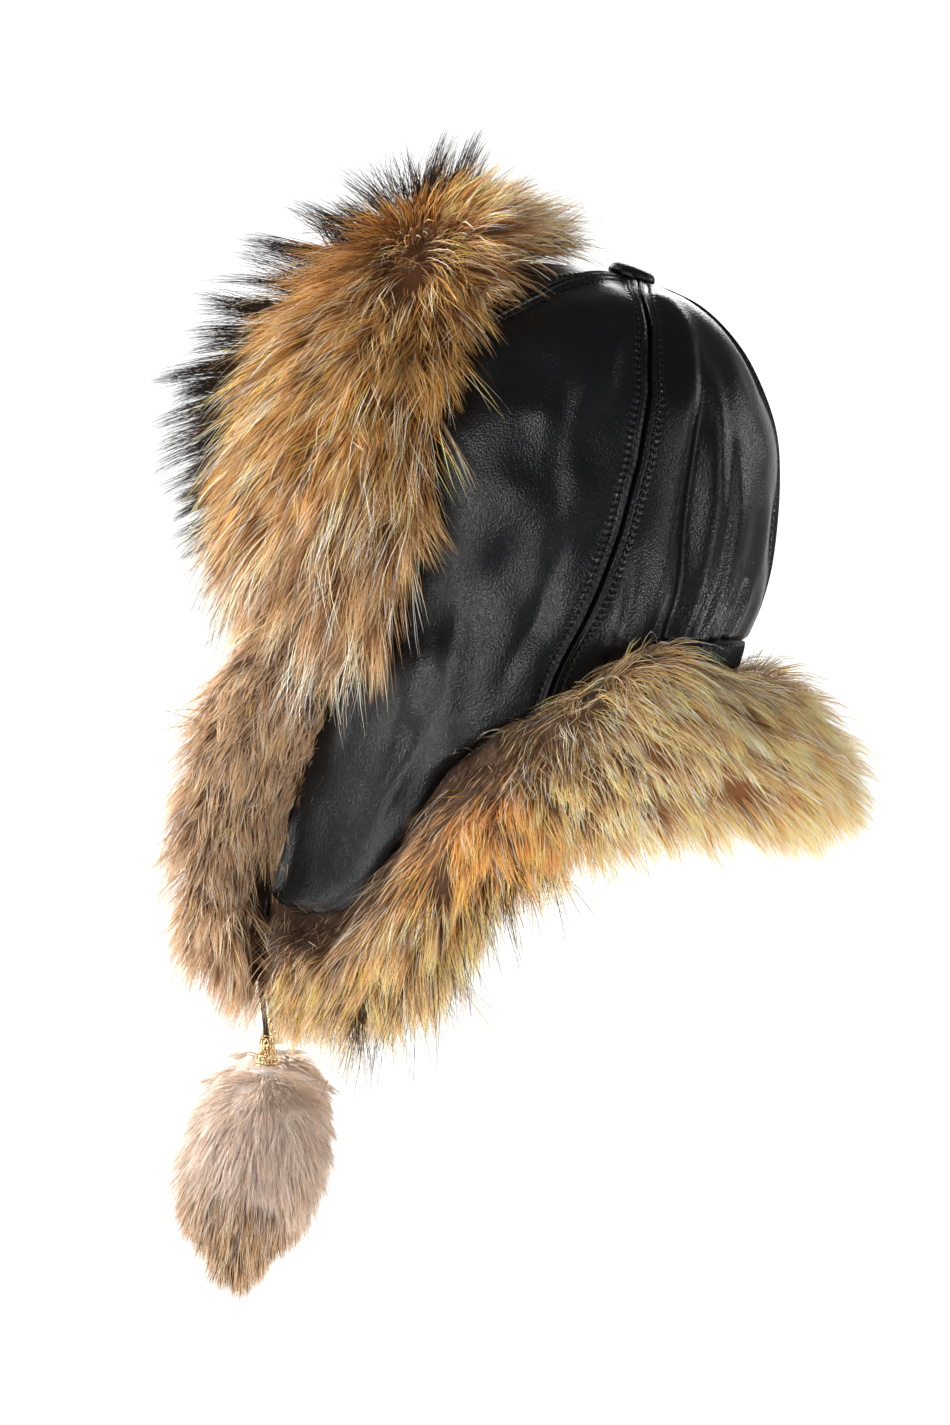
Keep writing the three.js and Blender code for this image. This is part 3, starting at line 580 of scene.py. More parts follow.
def panelPiece(node, turn, v, seams, side, look):
    # Seams are given as a column of the grid and the ring that they stop at. Below it the edge is a hem.
    base, normal, plain = plainPoint(turn, v), normalAt(turn, v), foldHeight(turn, v)
    height = plain + foldHeight(turn, v, creases, 0.8) * look["crease"] + wrinkles(base, look["wrinkle"])
    height = height + gatherHeight(turn, v) * look["gather"]
    down = runOf(base)
    calm, relief, run = np.ones(v.shape), np.zeros(v.shape), np.zeros(v.shape)
    nearest = np.full(v.shape, 50.0)
    for column, stop in seams:
        distance = np.linalg.norm(base - base[:, [column]], axis=-1)
        inside = v <= stop
        calm = calm * smooth(-3, 9, distance)
        closer = inside & (distance < nearest)
        nearest, run = np.where(closer, distance, nearest), np.where(closer, down[:, [column]], run)
        relief = relief + np.where(inside, seamRelief(distance), hemRelief(distance))
    relief = relief + look["hem"] * hemRelief(np.linalg.norm(base - base[[-1]], axis=-1))
    lift = plain + (height - plain) * calm + relief
    mirror = np.array([side, 1, 1])
    for column, stop in seams:
        keepStitches(base, normal, lift, column, v[:, column] <= stop, mirror)
    outer = base + normal * lift[..., None]
    inner = base + normal * (np.minimum(plain, lift) - form["wall"])[..., None]
    piece = shell(node + "_leather", outer * mirror, inner * mirror, blackLeather, side > 0, 4)
    seamMap = np.full((len(piece.data.vertices), 2), 50.0)
    seamMap[:nearest.size] = np.stack([nearest.ravel(), run.ravel()], axis=1)
    corner = np.empty(len(piece.data.loops), np.int32)
    piece.data.loops.foreach_get("vertex_index", corner)
    piece.data.uv_layers.new(name="seam").data.foreach_set("uv", seamMap[corner].ravel())
    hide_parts(node)


def edgeShares(count, edge, near):
    # Shares from 0 to 1 with columns packed close together inside the given share of each edge.
    side = np.linspace(0, edge, near)
    return np.concatenate([side[:-1], np.linspace(edge, 1 - edge, count - 2 * near + 2)[:-1], 1 - side[::-1]])


seamGap = 0.15


def seamInset(v):
    return seamGap / ((ringValue("backY", v) - ringValue("frontY", v)) / 2)


# The front panel, with coarser grids on the right side than on the left for the side and back panels.
frontLook = {"wrinkle": 0.6, "crease": 0.5, "gather": 0, "hem": 1}
rows = np.linspace(0.0, bandRing, 130)
edge = turnOf(np.interp(rows, *frontSeam.T) - seamInset(rows))[:, None]
share = edgeShares(84, 0.06, 18)
turn = mixed(-np.pi - edge, edge, share)
panelPiece("front_panel", turn, np.broadcast_to(rows[:, None], turn.shape), [(0, 9), (-1, 9)], 1, frontLook)

sideLook = {"wrinkle": 1.0, "crease": 1, "gather": 0, "hem": 0,
            "grid": {"left": (200, 86), "right": (110, 54)}}
for word, side in sides.items():
    count, columns = sideLook["grid"][word]
    rows = np.concatenate([np.linspace(0.0, seamEnd, count), np.linspace(seamEnd, hemRing, count // 6)[1:],
                           np.linspace(hemRing, tipRing, count // 10)[1:]])
    share = edgeShares(columns, 0.045, columns // 4)
    fore = (np.interp(rows, *frontSeam.T) + seamInset(rows))[:, None]
    aft = (np.interp(rows, *sideSeam.T) - seamInset(rows))[:, None]
    turn = turnOf(mixed(fore, aft, share))
    panelPiece(f"side_panel_{word}", turn, np.broadcast_to(rows[:, None], turn.shape),
               [(0, bandRing), (-1, seamEnd)], side, sideLook)

backLook = {"wrinkle": 0.8, "crease": 1, "gather": 1, "hem": 1,
            "grid": {"left": (190, 104), "right": (100, 60)}}
for word, side in sides.items():
    count, columns = backLook["grid"][word]
    share = edgeShares(columns, 0.06, columns // 5)
    hemTurn = mixed(turnOf(backHem[0, 0]), np.pi / 2, share)
    hem = np.interp(acrossOf(hemTurn), *backHem.T)
    t = np.linspace(0, 1, count)[:, None]
    v = np.where(t < 0.8, t / 0.8 * bandRing, bandRing + (t - 0.8) / 0.2 * (hem - bandRing))
    fore = turnOf(np.interp(v[:, 0], *sideSeam.T) + seamInset(v[:, 0]))
    inset = seamGap / np.maximum(ringValue("half", v[:, 0]), 1)
    turn = mixed(fore[:, None], np.pi / 2 - inset[:, None], share)
    panelPiece(f"back_panel_{word}", turn, v, [(0, 9), (-1, 9)], side, backLook)
print("leather panels made")


# Stitches: a short thread at each pitch, sunk at both ends, all in one mesh.
stitch = {"length": 2.4, "thick": 0.4, "sides": 5, "rings": 4, "sink": 0.3}


def valuesAt(at, run, values):
    return np.stack([np.interp(at, run, column) for column in values.T], axis=1)


def stitchMesh(name, rows):
    places, headings, outs = [], [], []
    for path, out in rows:
        run = runOf(path)
        at = np.arange(leather["pitch"] / 2, run[-1], leather["pitch"])
        places.append(valuesAt(at, run, path))
        headings.append(unit(valuesAt(at + 0.8, run, path) - valuesAt(at - 0.8, run, path)))
        outs.append(unit(valuesAt(at, run, out)))
    places, headings, outs = (np.concatenate(part)[:, None, None] for part in (places, headings, outs))
    across = unit(np.cross(headings, outs))
    u = np.linspace(-1, 1, stitch["rings"])
    angle = circle(stitch["sides"])
    radius = stitch["thick"] * np.sqrt(np.maximum(1 - u ** 4, 0.04))
    lift = 0.22 - stitch["sink"] * u ** 2
    points = (places + headings * (u * stitch["length"] / 2)[None, :, None, None]
              + outs * (lift[:, None] + radius[:, None] * np.sin(angle))[None, ..., None]
              + across * (radius[:, None] * np.cos(angle))[None, ..., None])
    first = np.arange(len(places))[:, None, None] * stitch["rings"] * stitch["sides"]
    faces = (first + ringQuads(stitch["rings"], stitch["sides"])).reshape(-1, 4)
    return quadObject(name, points, faces, blackThread)


stitchMesh("seam_stitches", stitchRows)
print("stitches made")

# The shirred casing: pleats, with a bulge between the two stitched edges.
casing = {"top": 6.62, "height": 23.0, "start": 0.7, "pitch": 4.0, "depth": 2.2, "bulge": 0.8,
          "tuckOut": -4.2, "tuckIn": -4.9}
casingLow = casing["top"] + casing["height"] / (skirtRings[0, 0] * form["drop"])
casingStart = turnOf(np.array(casing["start"]))
casingHalf = ringValue("half", np.array(casing["top"]))
pleats = round(float((np.pi - 2 * casingStart) * casingHalf / casing["pitch"]))
u = np.linspace(0, 1, pleats * 8 + 1)[None, :]
tuck = np.concatenate([[-0.32, -0.16, -0.01], np.linspace(0, 1, 17)])[:, None]
w = np.maximum(tuck, 0)
turn = mixed(casingStart, np.pi - casingStart, u)
v = casing["top"] + (casingLow - casing["top"]) * tuck + 0 * u
wander = 0.25 * np.sin(5 * w + 17 * u)
pleat = (0.5 - 0.5 * np.cos(2 * np.pi * (pleats * u + wander * np.sin(np.pi * u)))) ** 0.7
pleat = pleat * (0.75 + 0.25 * np.sin(29 * u + 3 * w))
belly = np.sin(np.pi * w) ** 0.6
pinch = bell(w, 0.5, 0.05)
out = casing["depth"] * pleat * (0.55 + 0.45 * belly) + casing["bulge"] * belly - 0.9 * pinch
# The top edge is tucked up behind the panels.
out = np.where(tuck < 0, casing["tuckOut"], out)
inside = np.where(tuck < 0, casing["tuckIn"], -form["wall"] + 0 * out)
base, normal = plainPoint(turn, v), normalAt(turn, v)
casingPiece = shell("nape_casing", base + normal * out[..., None], base + normal * inside[..., None],
                    blackLeather, flip=True)
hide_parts("nape_elastic")

# The button: a flat dome with its leather drawn under, a soft rim and faint folds round the edge.
button = {"radius": 11.0, "thickness": 7.0, "seatRing": 0.35}
low, high = (np.array(corner) * 1000 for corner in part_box("crown_button"))
front, back = plainPoint(-np.pi / 2, button["seatRing"]), plainPoint(np.pi / 2, button["seatRing"])
tilt = math.atan2(back[2] - front[2], back[1] - front[1])
profile = np.array([
    [0.0, 0.0], [0.6, 0.0], [0.86, 0.02], [0.96, 0.12], [1.0, 0.28], [0.995, 0.42], [0.965, 0.56], [0.9, 0.7],
    [0.8, 0.81], [0.66, 0.89], [0.48, 0.95], [0.25, 0.99], [0.0, 1.0],
])
steps = np.linspace(0, len(profile) - 1, 33)
radius = np.interp(steps, np.arange(len(profile)), profile[:, 0]) * button["radius"]
height = np.interp(steps, np.arange(len(profile)), profile[:, 1]) * button["thickness"]
angle = np.linspace(0, 2 * np.pi, 57)
wave = 1 + 0.012 * np.sin(angle * 11) * smooth(0.5, 0, profile[:, 1].max() * steps[:, None] / len(steps))
x, y = radius[:, None] * wave * np.cos(angle), radius[:, None] * wave * np.sin(angle)
z = np.broadcast_to(height[:, None], x.shape)
centre = (low + high) / 2
middle = button["thickness"] / 2
turned = np.stack([x, y * math.cos(tilt) - (z - middle) * math.sin(tilt),
                   y * math.sin(tilt) + (z - middle) * math.cos(tilt)], axis=-1) + centre
buttonPiece = quadObject("button_leather", turned, gridFaces(*x.shape), blackLeather)
weldSeams(buttonPiece)
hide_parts("crown_button")
print("casing and button made")

# Fur. A form gives its points for two shares; strands are rooted on it in clumps, bend over along a flow and
# are ribbons that taper to a point, all in one mesh for each coat.
def fromScreen(red, green, blue):
    c = np.array([red, green, blue]) / 255
    return np.where(c <= 0.04045, c / 12.92, ((c + 0.055) / 1.055) ** 2.4)


# The dark plush colour is partly the plush underfur's own colour and partly painted shade.
palette = {name: fromScreen(*shade) for name, shade in {
    "honey": (238, 188, 106), "orange": (240, 160, 74), "brown": (156, 103, 58), "tan": (242, 199, 148),
    "cream": (255, 236, 204), "greyBeige": (232, 210, 174), "taupe": (230, 194, 160), "root": (186, 146, 108),
    "straw": (255, 220, 168), "black": (30, 25, 22), "white": (255, 253, 246), "darkBrown": (84, 60, 38),
    "mauve": (240, 221, 206), "shadedPlush": (108, 80, 60),
}.items()}


def surfaceFrame(place, a, b, sign):
    step = 0.004
    point = place(a, b)
    along = place(a + step, b) - place(a - step, b)
    across = place(a, b + step) - place(a, b - step)
    normal = unit(np.cross(along, across)) * sign
    wide, tall = (np.linalg.norm(part, axis=-1) / (2 * step) for part in (along, across))
    return point, normal, wide, tall


def scatter(place, count, rng, sign):
    # Shares picked in step with area, from the cells of a grid on the form.
    cells = 48
    share = (np.arange(cells) + 0.5) / cells
    a, b = np.meshgrid(share, share, indexing="ij")
    _, _, wide, tall = surfaceFrame(place, a, b, sign)
    area = (wide * tall).ravel()
    pick = rng.choice(cells * cells, count, p=area / area.sum())
    return ((pick // cells + rng.random(count)) / cells, (pick % cells + rng.random(count)) / cells)


# What most coats share. Lengths are in millimetres, bend, lean and droop turn the hair as it grows, stray and
# wave scatter it, gather pulls it to its clump, and the shades are the ranges of light and dark.
hairDefaults = {"levels": 4, "vary": 0.3, "bend": 0.5, "droop": 0.25, "stray": 0.3, "gather": 0.5,
                "wave": 1.0, "width": 0.32, "sink": 1.5, "clumpShade": (0.8, 1.2), "hairShade": (0.8, 1.3)}


def furCoat(name, place, sign, flowAt, toneAt, seed, plan):
    plan = hairDefaults | plan
    rng = np.random.default_rng(seed)
    count, clumps, levels = plan["count"], plan["clumps"], plan["levels"]
    s = np.linspace(0, 1, levels)
    ca, cb = scatter(place, clumps, rng, sign)
    own = rng.integers(0, clumps, count)
    _, _, wide, tall = surfaceFrame(place, ca, cb, sign)
    spot = rng.normal(0, plan["clumpSize"], (count, 2))
    a = np.clip(ca[own] + spot[:, 0] / np.maximum(wide[own], 8), 0.004, 0.996)
    b = np.clip(cb[own] + spot[:, 1] / np.maximum(tall[own], 8), 0.004, 0.996)

    def grow(a, b, length, jitter):
        # The hair's direction turns from the form's normal towards the flow as it grows.
        root, normal, _, _ = surfaceFrame(place, a, b, sign)
        flow, lean, scale = flowAt(root, normal, a, b)
        flow = unit(flow + jitter)
        flow = unit(flow - normal * np.minimum((flow * normal).sum(-1, keepdims=True), 0))
        angle = (lean[:, None] + plan["bend"] * s)[..., None]
        heading = np.cos(angle) * normal[:, None] + np.sin(angle) * flow[:, None]
        heading[..., 2] -= plan["droop"] * s
        heading = unit(heading)
        step = (heading[:, 1:] + heading[:, :-1]) / 2 * (length * scale / (levels - 1))[:, None, None]
        travel = np.concatenate([np.zeros_like(step[:, :1]), np.cumsum(step, axis=1)], axis=1)
        return root, normal, (root - normal * plan["sink"])[:, None] + travel

    clumpJitter = rng.normal(0, plan["stray"], (clumps, 3))
    clumpLength = plan["length"] * rng.uniform(1 - plan["vary"], 1 + plan["vary"], clumps)
    _, _, clumpPath = grow(ca, cb, clumpLength, clumpJitter)
    jitter = clumpJitter[own] + rng.normal(0, plan["stray"] * 0.45, (count, 3))
    length = clumpLength[own] * rng.uniform(0.72, 1.08, count)
    root, normal, path = grow(a, b, length, jitter)
    pull = (plan["gather"] * s ** 1.3)[None, :, None] * rng.uniform(0.5, 1, count)[:, None, None]
    path = mixed(path, clumpPath[own], pull)
    wave = rng.normal(0, 1, (count, 3))[:, None] * np.sin(s * np.pi * 1.4)[None, :, None]
    path = path + wave * plan["wave"]
    if "clear" in plan:
        keep = plan["clear"](path)
        path, normal, root, a, b, own = (part[keep] for part in (path, normal, root, a, b, own))
        count = len(path)
    lie = unit(normal + rng.normal(0, 0.5, (count, 3)))[:, None]
    lie = unit(np.cross(unit(np.gradient(path, axis=1)), lie))
    taper = np.minimum(1, 0.65 + s * 1.2) * (1 - s ** 2.2)
    half = plan["width"] / 2 * rng.uniform(0.7, 1.3, count)[:, None] * taper[None]
    lie = lie * half[..., None]
    points = np.stack([(path + lie)[:, :-1], (path - lie)[:, :-1]], axis=2).reshape(count, -1, 3)
    points = np.concatenate([points, path[:, -1:]], axis=1)
    each = 2 * (levels - 1) + 1
    quad = np.array([[2 * k, 2 * k + 1, 2 * k + 3, 2 * k + 2] for k in range(levels - 2)]).ravel()
    loop = np.concatenate([quad, [each - 3, each - 2, each - 1]])
    loops = (np.arange(count)[:, None] * each + loop).ravel()
    rootTone, tipTone = toneAt(root, a, b, rng, own)
    tone = mixed(rootTone[:, None], tipTone[:, None], smooth(0.05, 0.85, s)[None, :, None])
    clumpShade = rng.uniform(*plan["clumpShade"], clumps)[own][:, None, None]
    tone = tone * rng.uniform(*plan["hairShade"], (count, 1, 1)) * clumpShade
    tones = np.concatenate([np.repeat(tone[:, :-1], 2, axis=1), tone[:, -1:]], axis=1)
    coat = makeObject(name, points.reshape(-1, 3), loops, np.tile([4] * (levels - 2) + [3], count), guardFur)
    setTone(coat, np.clip(tones.reshape(-1, 3), 0, 1))


def blend(rng, count, weights):
    # One palette colour for each hair, picked by weight.
    table = np.array([palette[name] for name in weights])
    weights = np.stack([np.broadcast_to(weight, count) for weight in weights.values()], axis=1)
    total = np.cumsum(weights / weights.sum(1, keepdims=True), axis=1)
    pick = (rng.random(count)[:, None] > total).sum(1)
    return table[np.minimum(pick, len(table) - 1)]


def furBody(name, rings, tone, node):
    # The backing that the hairs stand on: a closed tube.
    piece = closedTube(name, rings, rings[[0, -1]].mean(1), underFur)
    weldSeams(piece)
    tones = np.broadcast_to(tone, rings.shape).reshape(-1, 3)
    setTone(piece, np.concatenate([tones, tones[:1], tones[-1:]])[:len(piece.data.vertices)])
    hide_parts(node)


def plainTone(piece, tone):
    setTone(piece, np.broadcast_to(tone, (len(piece.data.vertices), 3)))


def shareGrid(rows, columns):
    return np.meshgrid(np.linspace(0, 1, rows), np.linspace(0, 1, columns), indexing="ij")


# The visor: ring, rear edge, share of the depth.
fur = {"depth": 54.0, "reach": 88.0, "thickness": 56.0, "body": 0.62, "spread": 0.68, "lining": 18.0,
       "gap": 0.3, "visorLift": 3.6, "liningLift": 3.4}
visorRows = np.array([
    [1.25, -0.93, 0.42], [1.8, -0.8, 0.78], [2.6, -0.66, 0.96], [3.4, -0.56, 1.0], [4.4, -0.5, 0.97],
    [5.4, -0.5, 0.92], [6.35, -0.6, 0.78],
])
whorl = np.array([0, -0.25 * form["length"], 1.06 * form["height"]])


def visorPlace(a, t, out):
    v = visorRows[0, 0] + (visorRows[-1, 0] - visorRows[0, 0]) * t
    edge = turnOf(np.interp(v, visorRows[:, 0], visorRows[:, 1]))
    turn = mixed(-np.pi - edge, edge, a)
    aside, ends = np.abs(np.clip(2 * a - 1, -1, 1)), np.abs(np.clip(2 * t - 1, -1, 1))
    depth = fur["depth"] * np.interp(v, visorRows[:, 0], visorRows[:, 2])
    depth = depth * (1 - aside ** 3.2) ** 0.7 * (1 - ends ** 5) ** 0.5 * (0.62 + 0.38 * (1 - aside ** 2))
    lift = fur["gap"] + fur["visorLift"] + out * np.maximum(depth, 5)
    return plainPoint(turn, v) + normalAt(turn, v) * np.asarray(lift)[..., None]


visorShares = shareGrid(61, 49)
visorBody = shell("visor_undercoat", visorPlace(*visorShares, 0.62), visorPlace(*visorShares, 0.0), underFur)
weldSeams(visorBody)
# The undercoat is a dark brown so that bare patches, as at the whorl, read as shade: painted shade.
plainTone(visorBody, palette["brown"] * 0.45)
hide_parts("visor_fur")


def visorFlow(root, normal, a, b):
    flow = (root - whorl) * np.array([0.5, 1, 1])
    flow = unit(flow - normal * (flow * normal).sum(-1, keepdims=True))
    rear = np.abs(2 * a - 1) ** 4
    centre = np.exp(-((root - whorl) ** 2).sum(-1) / 17 ** 2)
    scale = 1 + 0.3 * smooth(0.65, 1, b) + 0.2 * rear * smooth(0.3, 0.6, b)
    return flow, 0.6 + 0.25 * rear - 0.42 * centre, scale


def visorTone(guard):
    def toneAt(root, a, b, rng, own):
        # Honey in front, brown round the whorl, tan and cream below, grey at the rear, black along the top.
        x, y, z = root.T
        patch = noise3(root, 26, 21)
        streak = np.random.default_rng(8).random(5000)[own % 5000]
        stripe = bell(x, 0, 6, 4) * smooth(0.95, 0.75, b) * smooth(0.04, 0.16, b)
        low = smooth(95, 15, z + 14 * patch)
        rear = smooth(-40, -5, y + 10 * patch)
        dark = np.exp(-((root - whorl - np.array([24, 4, 0])) ** 2).sum(1) / 30 ** 2)
        middle = smooth(140, 90, z)
        tip = blend(rng, len(x), {
            "honey": 1.5 * (1 - low) * (1 - 0.8 * rear),
            "orange": 0.35 * (1 - low) * (1 - rear),
            "brown": 0.1 + 1.6 * dark + 0.1 * rear,
            "tan": 0.9 * low + 0.35 + 0.6 * rear,
            "cream": 0.08 + 0.5 * rear + guard * (1.0 + 1.2 * middle),
            "greyBeige": 0.9 * rear,
            "black": 0.03 + 9 * stripe + 0.4 * low * (streak < 0.16) + guard * 1.1 * middle,
        })
        # Painted light: the tips at the top rear are brightened. The guard hairs' tips are also brightened at
        # middle height.
        high = smooth(150, 175, z) * smooth(-70, -35, y)
        tip = tip * (1 + 0.8 * high + 0.5 * guard * middle)[:, None]
        # Roots are darker than the tips, partly the hair's own colour and partly painted shade deep in the
        # coat.
        rootTone = palette["brown"] * (0.7 + 0.35 * low + 0.8 * rear - 0.5 * stripe)[:, None]
        return rootTone, tip
    return toneAt


def visorRoots(a, b):
    return visorPlace(a, b, 0.6)


furCoat("visor_coat", visorRoots, -1, visorFlow, visorTone(0), 31,
        {"count": 30000, "clumps": 1300, "clumpSize": 3.6, "length": 30, "vary": 0.32, "bend": 0.62,
         "droop": 0.12, "stray": 0.25, "gather": 0.72, "wave": 0.35, "width": 0.4,
         "clumpShade": (0.6, 1.28), "hairShade": (0.74, 1.26)})
furCoat("visor_guard", visorRoots, -1, visorFlow, visorTone(1), 32,
        {"count": 6500, "clumps": 1100, "levels": 6, "clumpSize": 2.2, "length": 41, "bend": 0.7,
         "droop": 0.16, "gather": 0.75, "wave": 0.8, "width": 0.38, "clumpShade": (0.65, 1.45),
         "hairShade": (0.75, 1.4)})


def stripeRoots(a, b):
    # The strip along the top of the visor, from its lower front to the rear.
    return visorPlace(0.5 + 0.07 * (a - 0.5), 0.1 + 0.7 * b, 0.6)


def stripeFlow(root, normal, a, b):
    flow, _, _ = visorFlow(root, normal, a, b)
    return flow, np.full(len(a), 0.3), 0.8 + 0.4 * np.sin(np.pi * b)


def stripeTone(root, a, b, rng, own):
    tip = blend(rng, len(a), {"black": 0.92, "darkBrown": 0.08})
    return np.broadcast_to(palette["darkBrown"], tip.shape), tip


furCoat("visor_stripe", stripeRoots, -1, stripeFlow, stripeTone, 33,
        {"count": 4600, "clumps": 110, "levels": 6, "clumpSize": 2.8, "length": 41, "vary": 0.35,
         "bend": 0.45, "droop": 0.05, "gather": 0.66, "wave": 0.9, "width": 0.38, "hairShade": (0.6, 1.3)})
print("visor made")

# The band round the flap and nape: ring, share across, back, down, lift, thickness.
bandStations = np.array([
    [6.2, -0.8, -0.62, 0.02, 0.12, 0.85], [7.4, -0.8, -0.78, -0.05, 0.12, 1],
    [8.8, -0.755, -0.66, -0.14, 0.12, 1], [9.7, -0.69, -0.42, -0.42, 0.12, 0.95],
    [9.95, -0.5, -0.05, -0.72, 0.12, 0.95], [9.9, -0.3, 0.12, -0.8, 0.12, 1],
    [9.2, -0.19, 0.2, -0.88, 0.14, 1.05], [8.3, -0.12, 0.22, -0.94, 0.16, 1.1],
    [7.75, 0.1, 0.24, -0.92, 0.2, 1.1], [7.35, 0.4, 0.3, -0.9, 0.22, 1.08], [7.25, 0.7, 0.34, -0.9, 0.25, 1],
    [7.4, 0.9, 0.36, -0.82, 0.28, 0.92], [7.42, 1.0, 0.36, -0.8, 0.29, 0.9],
])
napeJoin = 0.76


def bandRow(place):
    # The stations' values at a place, and the side it is on: places past 1 are the right side's, in mirror.
    near = np.where(place > 1, 2 - place, place)
    rows = [np.interp(near * (len(bandStations) - 1), np.arange(len(bandStations)), column)
            for column in bandStations.T]
    return near, np.where(place > 1, -1, 1), rows


def bandPlace(place, angle, opened=1.0):
    # An oval round the reach from the leather's edge. Its near end dips under the edge of the flap, and
    # stands over the hem at the nape. Opened parts the left flap's fur at the lace.
    near, mirror, (ring, across, back, down, lift, thick) = bandRow(place)
    turn = turnOf(across)
    nape = smooth(0.6, 0.74, near)
    reach = np.stack([-0.1 * np.abs(down * fur["reach"]) * np.cos(turn), back * fur["reach"],
                      down * fur["reach"]], axis=-1)
    out = (1 + np.cos(angle)) / 2
    start = -0.09 * smooth(0.68, 0.8, near) - 0.13 * bell(near, 0.82, 0.045)
    share = start + (fur["spread"] - start) * out
    rise = smooth(0, 0.45, out) * (1 - nape) + nape
    thick = thick * (0.4 + 0.6 * smooth(0, 0.14, near))
    height = lift * fur["thickness"] * rise * smooth(-0.05, 0.14, near) - 3.5 * (1 - rise)
    oval = np.sin(angle)
    thin = np.where(oval < 0, 1, 0.3 + 0.7 * rise)
    height = height + thick * fur["thickness"] / 2 * fur["body"] * oval * thin
    point = plainPoint(turn, ring) + reach * share[..., None] + normalAt(turn, ring) * height[..., None]
    groove = bell(point[..., 1], laceLine(point[..., 2]), 5.5) * (point[..., 2] < tieTop[2] + 6)
    point[..., 0] -= groove * opened * np.maximum(point[..., 0] - tieTop[0] + 7, 0)
    point[..., 0] *= mirror
    return point


def laceLine(z):
    # How far forward the left lace is at a height.
    path = lacePoints("left", 1)
    return np.interp(z, path[::-1, 2], path[::-1, 1])


flapSpan, napeSpan = (0.0, napeJoin), (napeJoin, 2 - napeJoin)


def spanPlace(span, a):
    return span[0] + (span[1] - span[0]) * a


def bandForm(span, side):
    def place(a, b):
        # A runs along the band and b round it, from the leather's edge, over the outside, and back.
        point = bandPlace(spanPlace(span, a), -(np.pi + 2 * np.pi * b), 1.0 * (side > 0))
        return point * np.array([side, 1, 1])
    return place


def bandFlow(span, side, flat):
    def flowAt(root, normal, a, b):
        near, mirror, (_, _, back, down, _, _) = bandRow(spanPlace(span, a))
        front = smooth(0.36, 0.2, near)
        under = smooth(0.3, 0.4, near) * smooth(0.66, 0.52, near)
        nape = smooth(0.66, 0.8, near)
        flow = np.stack([0.05 * mirror * side, back + 0.3 * front - 0.42 * under + 0.35 * nape,
                         down - 0.6 * front - 0.1 + 0.3 * nape], axis=-1)
        edge = smooth(0.19, 0.08, np.minimum(b, 1 - b)) * (1 - smooth(0.6, 0.74, near))
        swell = 0.4 * bell(near, 0.5, 0.06)
        scale = 1 - flat * np.abs(normal[:, 0]) ** 2 + swell - (0.5 - 0.4 * front) * edge
        return unit(flow), np.full(len(near), 0.95), scale * (0.75 + 0.25 * smooth(0, 0.1, near))
    return flowAt


def bandTone(span, guard):
    def toneAt(root, a, b, rng, own):
        # Taupe in front, dark plush by the leather's edge below, partly the plush's own colour and partly
        # painted shade under the edge, then an orange patch, and straw and cream behind.
        near, _, _ = bandRow(spanPlace(span, a))
        patch = noise3(root, 24, 23)
        streak = np.random.default_rng(9).random(5000)[own % 5000]
        place, out = near + 0.025 * patch, 1 - np.abs(2 * b - 1)
        front = smooth(0.35, 0.31, near)
        back = smooth(0.62, 0.72, place)
        under = np.clip(1 - front - back, 0, 1)
        # Painted shade along the leather's edge, over the plush's own darker colour.
        shadedPlush = smooth(0.42, 0.27, out) * smooth(0.3, 0.34, near) * smooth(0.76, 0.64, near)
        orange = bell(place, 0.605, 0.055, 4) * smooth(0.26, 0.42, out) * smooth(0.9, 0.7, out)
        rim = smooth(0.5, 0.8, out) * smooth(0.38, 0.44, near) * smooth(0.68, 0.6, near)
        tip = blend(rng, len(a), {
            "taupe": 2.2 * front + 0.9 * under,
            "cream": 0.35 * front + 0.1 + 0.5 * back + 0.6 * guard,
            "orange": 3.5 * orange,
            "straw": 0.25 * front + 0.1 * under + 1.4 * back,
            "black": (0.15 + 1.2 * guard) * rim * (streak > 0.6) + 0.1 * guard,
            "white": 0.15 * front + 0.2 * back + 0.4 * guard,
            "brown": 0.1 * under + 0.05 * back,
            "tan": 0.6 * front + 0.5 * under + 0.5 * back + 1.2 * rim,
            "shadedPlush": (12 - 8 * guard) * shadedPlush,
            "honey": 0.2 * front + under * (1 + rim) * smooth(0.25, 0.45, out) + 1.1 * back,
        })
        # Roots below and by the leather's edge take the dark plush tone: partly its own colour, partly
        # painted shade.
        low = np.maximum(under, shadedPlush)[:, None] * (1 - orange[:, None])
        base = mixed(palette["root"], palette["shadedPlush"], low)
        # Painted light: the back's tips and roots are multiplied brighter. The tips are also brightened on
        # the outer fur below and a little in front.
        light = 1 + (0.6 + 0.3 * guard) * back + 0.55 * under * smooth(0.3, 0.5, out) + 0.12 * front
        return base * rng.uniform(0.75, 1.1, (len(a), 1)) * (1 + 0.25 * back[:, None]), tip * light[:, None]
    return toneAt


def clearOfLace(path):
    # Hairs that would cross the left lace or its cap from outside are left off.
    x, y, z = path[..., 0], path[..., 1], path[..., 2]
    gap = 1.8 + 3.6 * smooth(tieTop[2] - tie["length"] + 6, tieTop[2] - tie["length"] - 9, z)
    near = (np.abs(y - laceLine(z)) < gap) & (z < tieTop[2] + 1) & (z > tieTop[2] - 84)
    return ~(near & (x > tieTop[0] - 8)).any(axis=1)


def bodyTone(around, tone):
    # Dark where the backing meets the leather, as the shadow under its edge.
    lit = smooth(0.04, 0.16, 1 - np.abs(2 * around - 1))[..., None]
    return tone * lit + palette["darkBrown"] * 0.12 * (1 - lit)


# The left flap has more and finer hairs than the right one.
flap = {"coat": {"left": 29000, "right": 9000}, "guard": {"left": 6000, "right": 1300},
        "width": {"left": 0.42, "right": 0.72}, "rings": (6.2, 9.85)}


def rimShares(a, b):
    # The strip along the lower edge, below the leather.
    return (0.4 + 0.26 * a) / napeJoin, 0.36 + 0.22 * b


